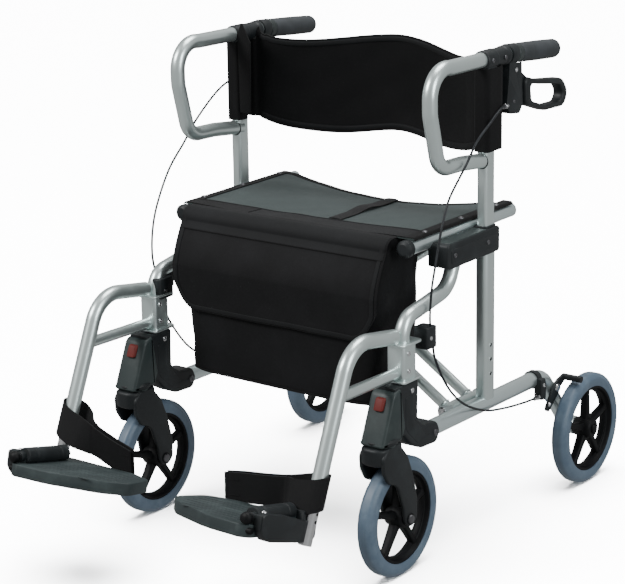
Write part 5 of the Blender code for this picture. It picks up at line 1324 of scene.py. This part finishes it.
def makeBag():
    # lofted shell: rings of a squared oval whose front follows the slant under the flap; they
    # shrink round the lower edge and then over the floor, and the walls belly out a little
    sizes = bagSizes
    brim, low, corner = seatSizes["topZ"] - 0.0060, sizes["lowZ"], sizes["corner"]
    turn = np.linspace(0, math.pi / 2, 10)[1:]
    wall = np.linspace(brim, low + corner, 90)
    floor = np.linspace(0, 1, 24)[1:]
    height = np.concatenate([wall, low + corner * (1 - np.sin(turn)), 0 * floor + low])
    inset = np.concatenate([0 * wall, corner * (1 - np.cos(turn)), 0 * floor + corner])
    shrink = 1 - np.concatenate([0 * wall, 0 * turn, floor])
    wide = sizes["half"] - sizes["taper"] * (brim - height) / (brim - low)
    front = np.interp(height, [low, sizes["kneeZ"], sizes["shoulderZ"], brim],
                      [sizes["frontY"], sizes["frontY"], sizes["topY"], sizes["brimY"]])
    middle, deep = (front + sizes["rearY"]) / 2, (sizes["rearY"] - front) / 2
    angle = fullTurn(260)
    ringX, ringY = powered(np.cos(angle), 0.22), powered(np.sin(angle), 0.22)
    x = ((wide - inset) * shrink)[:, None] * ringX
    y = middle[:, None] + ((deep - inset) * shrink)[:, None] * ringY
    z = np.broadcast_to(height[:, None], x.shape)
    fall = np.clip((brim - height) / (brim - low), 0, 1)[:, None]
    slack = np.minimum(1, fall * 4)
    belly = 0.004 * np.sin(math.pi * fall ** 1.4) * (1 - np.abs(x) / sizes["half"]) ** 0.4
    outwards = powered(ringY, 3)
    outwards = np.where(outwards < 0, outwards * 0.35, outwards)
    y = y + outwards * (belly + ripple(x * 1.1, z * 1.5, 0.0011, 0.7) * slack)
    x = x + powered(ringX, 3) * (ripple(y * 2.2, z * 2.0, 0.0016, 2.1) * slack
                                 - 0.003 * (1 - fall))
    sag = (1 - (np.abs(x) / sizes["half"]) ** 2) * 0.003
    z = z - (sag - ripple(x, y * 2, 0.0006, 5.0)) * fall ** 3
    z = np.where(fall < 0.02, seatHeight(x, y) - 0.0040, z)
    grid = np.stack([x, y, z], axis=-1)
    shell = newPiece("bagBody", [surface(grid, "bag")], "seat", ["bag_body"],
                     sharp=60)
    shell = withThickness(shell, 0.0016)

    # binding tapes that follow the lower edges of the front and of the rear wall
    tapes, ring = [], grid[len(wall) + 1]
    for way in (-1, 1):
        edge = ring[(np.sign(ringY) == way) & (np.abs(ring[:, 0]) < sizes["half"] - 0.020)]
        edge = edge[np.argsort(edge[:, 0])] + np.array([0, way * 0.0012, -0.0006])
        tapes.append(sweep(even(edge, 0.004), circle(0.0013, 12), "band", (0, way, 0)))
    return [shell, newPiece("bagBinding", tapes, "seat")]


flapSizes = dict(half=0.2095, shift=-0.0055, lowZ=0.373, rise=0.050, turn=0.019, startY=-0.0346,
                 topY=-0.0650, frontY=-0.0938, kneeZ=0.448, bulge=0.004)


tapeSizes = dict(stripeEnd=0.276, near=0.018, low=0.97, wide=0.055, tall=0.10)


def flapPoint(u, v, lift=0.0):
    # side view: level from the seam, a quarter turn over the front edge, slanting out to the
    # knee, then hanging; it swells a little and its lower corners are cut round
    half, shift, low, rise, turn, startY, topY, frontY, kneeZ, bulge = flapSizes.values()
    u, v = np.broadcast_arrays(np.asarray(u, float), np.asarray(v, float))
    top, edge = seatSizes["topZ"], np.abs(2 * u - 1)
    lower = low + rise * np.maximum(0, (edge - 0.77) / 0.23) ** 2.1
    between = lambda start, end: np.clip((v - start) / (end - start), 0, 1)
    flat, over, upright = 0.06, 0.21, 0.62
    angle = between(flat, over) * math.pi / 2
    slant, hang, fall = between(over, upright), between(upright, 1), between(over, 1)
    y = startY + (topY + turn - startY) * between(0, flat) - turn * np.sin(angle)
    y = y + (frontY - topY) * (0.45 * slant + 0.55 * np.sin(slant * math.pi / 2))
    z = top - turn * (1 - np.cos(angle))
    z = z - slant * (top - turn - kneeZ) - hang * (kneeZ - lower)
    swell = np.sin(math.pi * np.minimum(1.0, fall / 0.92)) ** 2 * (1 - edge ** 4)
    x = (2 * u - 1) * half + shift
    folds = ripple(x * 1.2, z * 1.3, 0.0009, 3.3) * np.minimum(1, fall * 3)
    y = y - bulge * swell - (0.0010 + folds) * fall
    return np.stack([x, y - lift * np.sin(angle), z + lift * np.cos(angle)], axis=-1)


def makeFlap():
    # front cover with a stripe along its fold, a seam under the stripe, and a tape that runs
    # down one side, along the lower edge and up the other
    stripeEnd, near, low, wide, tall = tapeSizes.values()
    facing = (0, -1, 0.02)
    net = lambda u, v: np.meshgrid(u, v, indexing="ij")
    flap = newPiece("bagFlap", [cloth(flapPoint(*net(np.linspace(0, 1, 140),
                                                     np.linspace(0, 1, 110))), 0.0026, "bag")],
                    "bag_cover", ["bag_flap"], sharp=60)
    u, v = net(np.linspace(0.004, 0.996, 130), np.linspace(0.07, stripeEnd, 30))
    corner = np.linspace(0, math.pi / 2, 16)
    down = np.column_stack([np.full(40, near), np.linspace(0.10, low - tall, 40)])
    bent = np.column_stack([near + wide * (1 - np.cos(corner)),
                            low - tall + tall * np.sin(corner)])
    under = np.column_stack([np.linspace(near + wide, 1 - near - wide, 90), np.full(90, low)])
    mirrored = lambda part: (part * (-1, 1) + (1, 0))[::-1]
    line = np.concatenate([down, bent[1:], under[1:], mirrored(bent)[1:], mirrored(down)[1:]])
    seam = flapPoint(np.linspace(0.006, 0.994, 120), np.full(120, stripeEnd + 0.006), 0.0022)
    shapes = [cloth(flapPoint(u, v, 0.0018), 0.0012, "trim"),
              sweep(even(flapPoint(line[:, 0], line[:, 1], 0.0020), 0.004),
                    flattened(0.0078, 0.0017), "trim", facing),
              sweep(seam, flattened(0.0028, 0.0014), "band", facing)]
    hem = newPiece("flapHem", shapes, "bag_cover", sharp=60)
    return [flap, hem]


bandSizes = dict(sleeveX=0.0125, sleeveY=0.01675, sleeveRear=0.0300, corner=0.005, bulge=0.125,
                 power=1.3, joinWidth=0.022)


def bandLine():
    # plan of the backrest: round three sides of each post, then bowed back between them
    sizes, x, y = bandSizes, layout["frameX"], postSizes["y"]
    nearX, nearY, rear, corner = [sizes[key] for key in ("sleeveX", "sleeveY", "sleeveRear",
                                                         "corner")]
    sleeve = bend([(x - nearX, y + 0.006), (x - nearX, y - nearY), (x + nearX, y - nearY),
                   (x + nearX, y + rear), (x - nearX, y + rear + 0.002)],
                  [0, corner, corner, corner, 0], 12)
    across = np.linspace(x - nearX, 0, 90)
    bow = (sizes["bulge"] - postSizes["halfDepth"]) * np.cos(
        math.pi / 2 * across / x) ** sizes["power"]
    join = (rear - nearY) * np.exp(-((across - x + nearX) / sizes["joinWidth"]) ** 2)
    right = np.concatenate([sleeve, np.column_stack([across, y + nearY + bow + join])])
    flat = np.concatenate([right, right[-2::-1] * (-1, 1)])
    return even(np.column_stack([flat, np.zeros(len(flat))]), 0.0035)


def makeBand():
    # edges by distance from the middle: the top dips between a middle rise and the end tabs,
    # and the bottom hangs lowest a third of the way in from each post
    topX = [0, 0.032, 0.056, 0.101, 0.132, 0.160, 0.200, 0.232, 0.2385, 0.2425, 0.300]
    topZ = [0.806, 0.803, 0.801, 0.795, 0.792, 0.791, 0.794, 0.802, 0.818, 0.790, 0.790]
    lowX = [0, 0.034, 0.080, 0.103, 0.129, 0.168, 0.198, 0.229, 0.240, 0.300]
    lowZ = [0.637, 0.633, 0.6265, 0.625, 0.626, 0.631, 0.638, 0.650, 0.653, 0.653]
    line = bandLine()
    distance = np.abs(line[:, 0])
    top, low = np.interp(distance, topX, topZ), np.interp(distance, lowX, lowZ)
    inside = distance < layout["frameX"] - 0.020
    smooth = lambda edge: np.where(inside, np.convolve(np.pad(edge, 6, mode="edge"),
                                                       np.ones(13) / 13, "valid"), edge)
    top, low = np.where(distance < 0.222, smooth(top), top), smooth(low)
    share = np.linspace(0, 1, 48)[None]
    height = low[:, None] + (top - low)[:, None] * share
    tangent = unit(np.gradient(line, axis=0))
    out = np.column_stack([tangent[:, 1], -tangent[:, 0], np.zeros(len(line))])
    free = np.clip((0.225 - distance) / 0.05, 0, 1)[:, None]
    folds = ripple(line[:, :1] * 0.9, height * 1.4, 0.0009, 2.6) - np.sin(math.pi * share) * 0.006
    grid = np.empty(height.shape + (3,))
    grid[..., :2] = line[:, None, :2] - out[:, None, :2] * (folds * free)[..., None]
    grid[..., 2] = height
    band = newPiece("backrestBand", [cloth(grid, 0.0030, "band")], "handle_right",
                    ["backrest_band"], sharp=50)

    # rolled edges, the sleeves' seams, and the left sleeve's front fold, which ends above the
    # clamp in a raised corner
    inner, shapes = distance < 0.236, []
    for row, rise in ((1, 0.004), (46, -0.004)):
        shapes.append(sweep(grid[inner, row] + np.array([0, 0, rise]),
                            flattened(0.0100, 0.0058, 18), "trim", out[inner]))
    for side in (-1, 1):
        near = np.argmin(np.abs(line[:, 0] - side * 0.2385) + (line[:, 1] < 0.170) * 9)
        shapes.append(sweep(grid[near][2:-8] + np.array([0, 0.0022, 0]),
                            flattened(0.0034, 0.0014), "trim", (0, 1, 0)))
    fold = [(-0.2400, 0.668), (-0.2425, 0.806), (-0.2330, 0.8265), (-0.2285, 0.818),
            (-0.2145, 0.793), (-0.2175, 0.668)]
    front = postSizes["y"] - bandSizes["sleeveY"]
    shapes.append(plate(fold, [0, 0.006, 0.0015, 0.010, 0.003, 0], 12, front - 0.0022,
                        front + 0.0012, "Y", 0.0008, "band"))
    hem = newPiece("bandHem", shapes, "handle_right", sharp=50)
    return [band, hem]


heelSizes = dict(right=dict(middle=0.208, fall=0.026, endX=0.078),
                 left=dict(middle=0.228, fall=0.052, endX=0.120))


def makeHeelStrap(label, side):
    # webbing loop: round the hanger leg, then two layers side by side to their stitched end;
    # it leans as the leg does, and lean is the leg's forward run for each metre of height
    x, (middle, fall, endX) = layout["frameX"], heelSizes[label].values()
    lean = 0.4027 / 0.9153
    centre = restSizes["lowY"] + (middle - restSizes["lowZ"]) * lean
    wrap, joint = restSizes["tubeRadius"] + 0.00325, (endX + 0.160) / 2
    route = [(endX, -0.331), (joint, -0.3330), (0.160, -0.3340), (0.200, -0.3370),
             (0.225, centre - 0.0185), (x - 0.010, centre - wrap - 0.0035),
             (x + 0.004, centre - wrap - 0.0005), (x + wrap - 0.0020, centre - 0.0075),
             (x + wrap, centre + 0.0010), (x + wrap - 0.0025, centre + 0.0095),
             (x + 0.003, centre + wrap + 0.0010), (x - 0.010, centre + wrap + 0.0040),
             (0.225, centre + 0.0110), (0.200, -0.3260), (0.160, -0.3240), (joint, -0.3235),
             (endX, -0.3230)]
    line = curve([(a, b, 0) for a, b in route], 0.003)
    out, back = line[:, :1], line[:, 1:2]
    wide = np.linspace(-0.0245, 0.0245, 18)[None]
    drop = fall * (x - out) / (x - endX)
    tilt = np.where(out > 0.225, lean, lean * np.clip((out - 0.19) / 0.035, 0, 1))
    sway = 0.0012 * np.sin(out * 70) * (out < 0.20)
    grid = np.stack(np.broadcast_arrays(side * out, back + sway + tilt * wide,
                                        middle - drop + wide), axis=-1)
    strap = sidePiece(label, "heelStrap", [cloth(grid, 0.0022, "strap")], "extension",
                      "heel_strap", 50)
    shapes, slope, low = [], fall / (x - endX), middle - fall
    for y, way in ((-0.3325, -1), (-0.3214, 1)):
        for rise in (-0.013, 0.013):
            stitch = [(side * (endX + 0.004), y, low + slope * 0.004 + rise),
                      (side * (endX + 0.028), y + way * 0.0010, low + slope * 0.028 + rise)]
            shapes.append(sweep(even(stitch, 0.004), flattened(0.0012, 0.0008), "trim",
                                (0, way, 0)))
    stitches = sidePiece(label, "strapStitches", shapes, "extension")
    "hanger" + label.capitalize()


for piece in makeSeat() + makeLiftStrap() + makeBag() + makeFlap():
    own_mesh(piece)
for piece in makeBand():
    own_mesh(piece)
onBothSides(makeHeelStrap)
print("soft parts ready")


# camera, floor and lights

viewSizes = dict(eye=(2.131, -2.876, 1.420), target=(0.0, -0.005, 0.4055), roll=-0.99,
                 lens=127.04)


def aimed(place, target):
    # the matrix of something that stands at a place and looks at its target
    way = (Vector(target) - Vector(place)).to_track_quat("-Z", "Y").to_matrix().to_4x4()
    return Matrix.Translation(Vector(place)) @ way


def makeCamera():
    # the photo's viewpoint, rolled a little
    camera = bpy.data.cameras.new("camera")
    camera.lens = viewSizes["lens"]
    camera.sensor_width = 36.0
    camera.sensor_fit = "HORIZONTAL"
    camera.clip_end = 50.0
    holder = linked("camera", camera)
    holder.matrix_world = (aimed(viewSizes["eye"], viewSizes["target"])
                           @ Matrix.Rotation(math.radians(viewSizes["roll"]), 4, "Z"))
    bpy.context.scene.camera = holder


lampSizes = dict(
    keyLight=dict(place=(-1.6, -2.6, 3.0), target=(0, 0, 0.4), size=(1.3, 1.3), power=132),
    fillLight=dict(place=(3.0, -0.6, 1.8), target=(0, 0, 0.4), size=(0.8, 1.8), power=58,
                   colour=(0.94, 0.98, 1.0)),
    topLight=dict(place=(0.2, 0.8, 3.4), target=(0, 0, 0.3), size=(1.6, 1.6), power=78))


def makeLight(name, place, target, size, power, colour=(1, 1, 1)):
    # a rectangular lamp that faces its target
    lamp = bpy.data.lights.new(name, "AREA")
    lamp.shape = "RECTANGLE"
    lamp.size, lamp.size_y = size
    lamp.energy = power
    lamp.color = colour
    linked(name, lamp).matrix_world = aimed(place, target)


stageSizes = dict(floorHalf=40.0, floorSun=44.0, sunAngle=60.0, worldLight=0.44, worldSeen=16.0)


def makeFloor():
    # pale floor with a broad sun of its own, so that it goes white behind the object
    half = stageSizes["floorHalf"]
    mesh = bpy.data.meshes.new("floor")
    mesh.from_pydata([(x, y, 0) for x, y in rectangle(-half, -half, half, half)], [],
                     [(0, 1, 2, 3)])
    floor = linked("floor", mesh)
    mesh.materials.append(plainFloor("paleFloor"))
    floor.visible_diffuse = floor.visible_glossy = False
    floorOnly = bpy.data.collections.new("floorOnly")
    floorOnly.objects.link(floor)
    lamp = bpy.data.lights.new("floorSun", "SUN")
    lamp.energy = stageSizes["floorSun"]
    lamp.angle = math.radians(stageSizes["sunAngle"])
    linked("floorSun", lamp).light_linking.receiver_collection = floorOnly


def makeStage():
    # floor, a world that is brighter to the camera than to the object, and three soft lamps
    makeFloor()
    world = bpy.data.worlds.new("studio")
    world.use_nodes = True
    nodes, links = world.node_tree.nodes, world.node_tree.links
    seen = nodes.new("ShaderNodeLightPath")
    strength = nodes.new("ShaderNodeMapRange")
    strength.inputs["To Min"].default_value = stageSizes["worldLight"]
    strength.inputs["To Max"].default_value = stageSizes["worldSeen"]
    links.new(seen.outputs["Is Camera Ray"], strength.inputs["Value"])
    links.new(strength.outputs["Result"], nodes["Background"].inputs["Strength"])
    nodes["Background"].inputs["Color"].default_value = (1.0, 1.0, 1.0, 1)
    bpy.context.scene.world = world
    for name, lamp in lampSizes.items():
        makeLight(name, **lamp)


makeCamera()
makeStage()


# bring the scene up to date

bpy.context.view_layer.update()
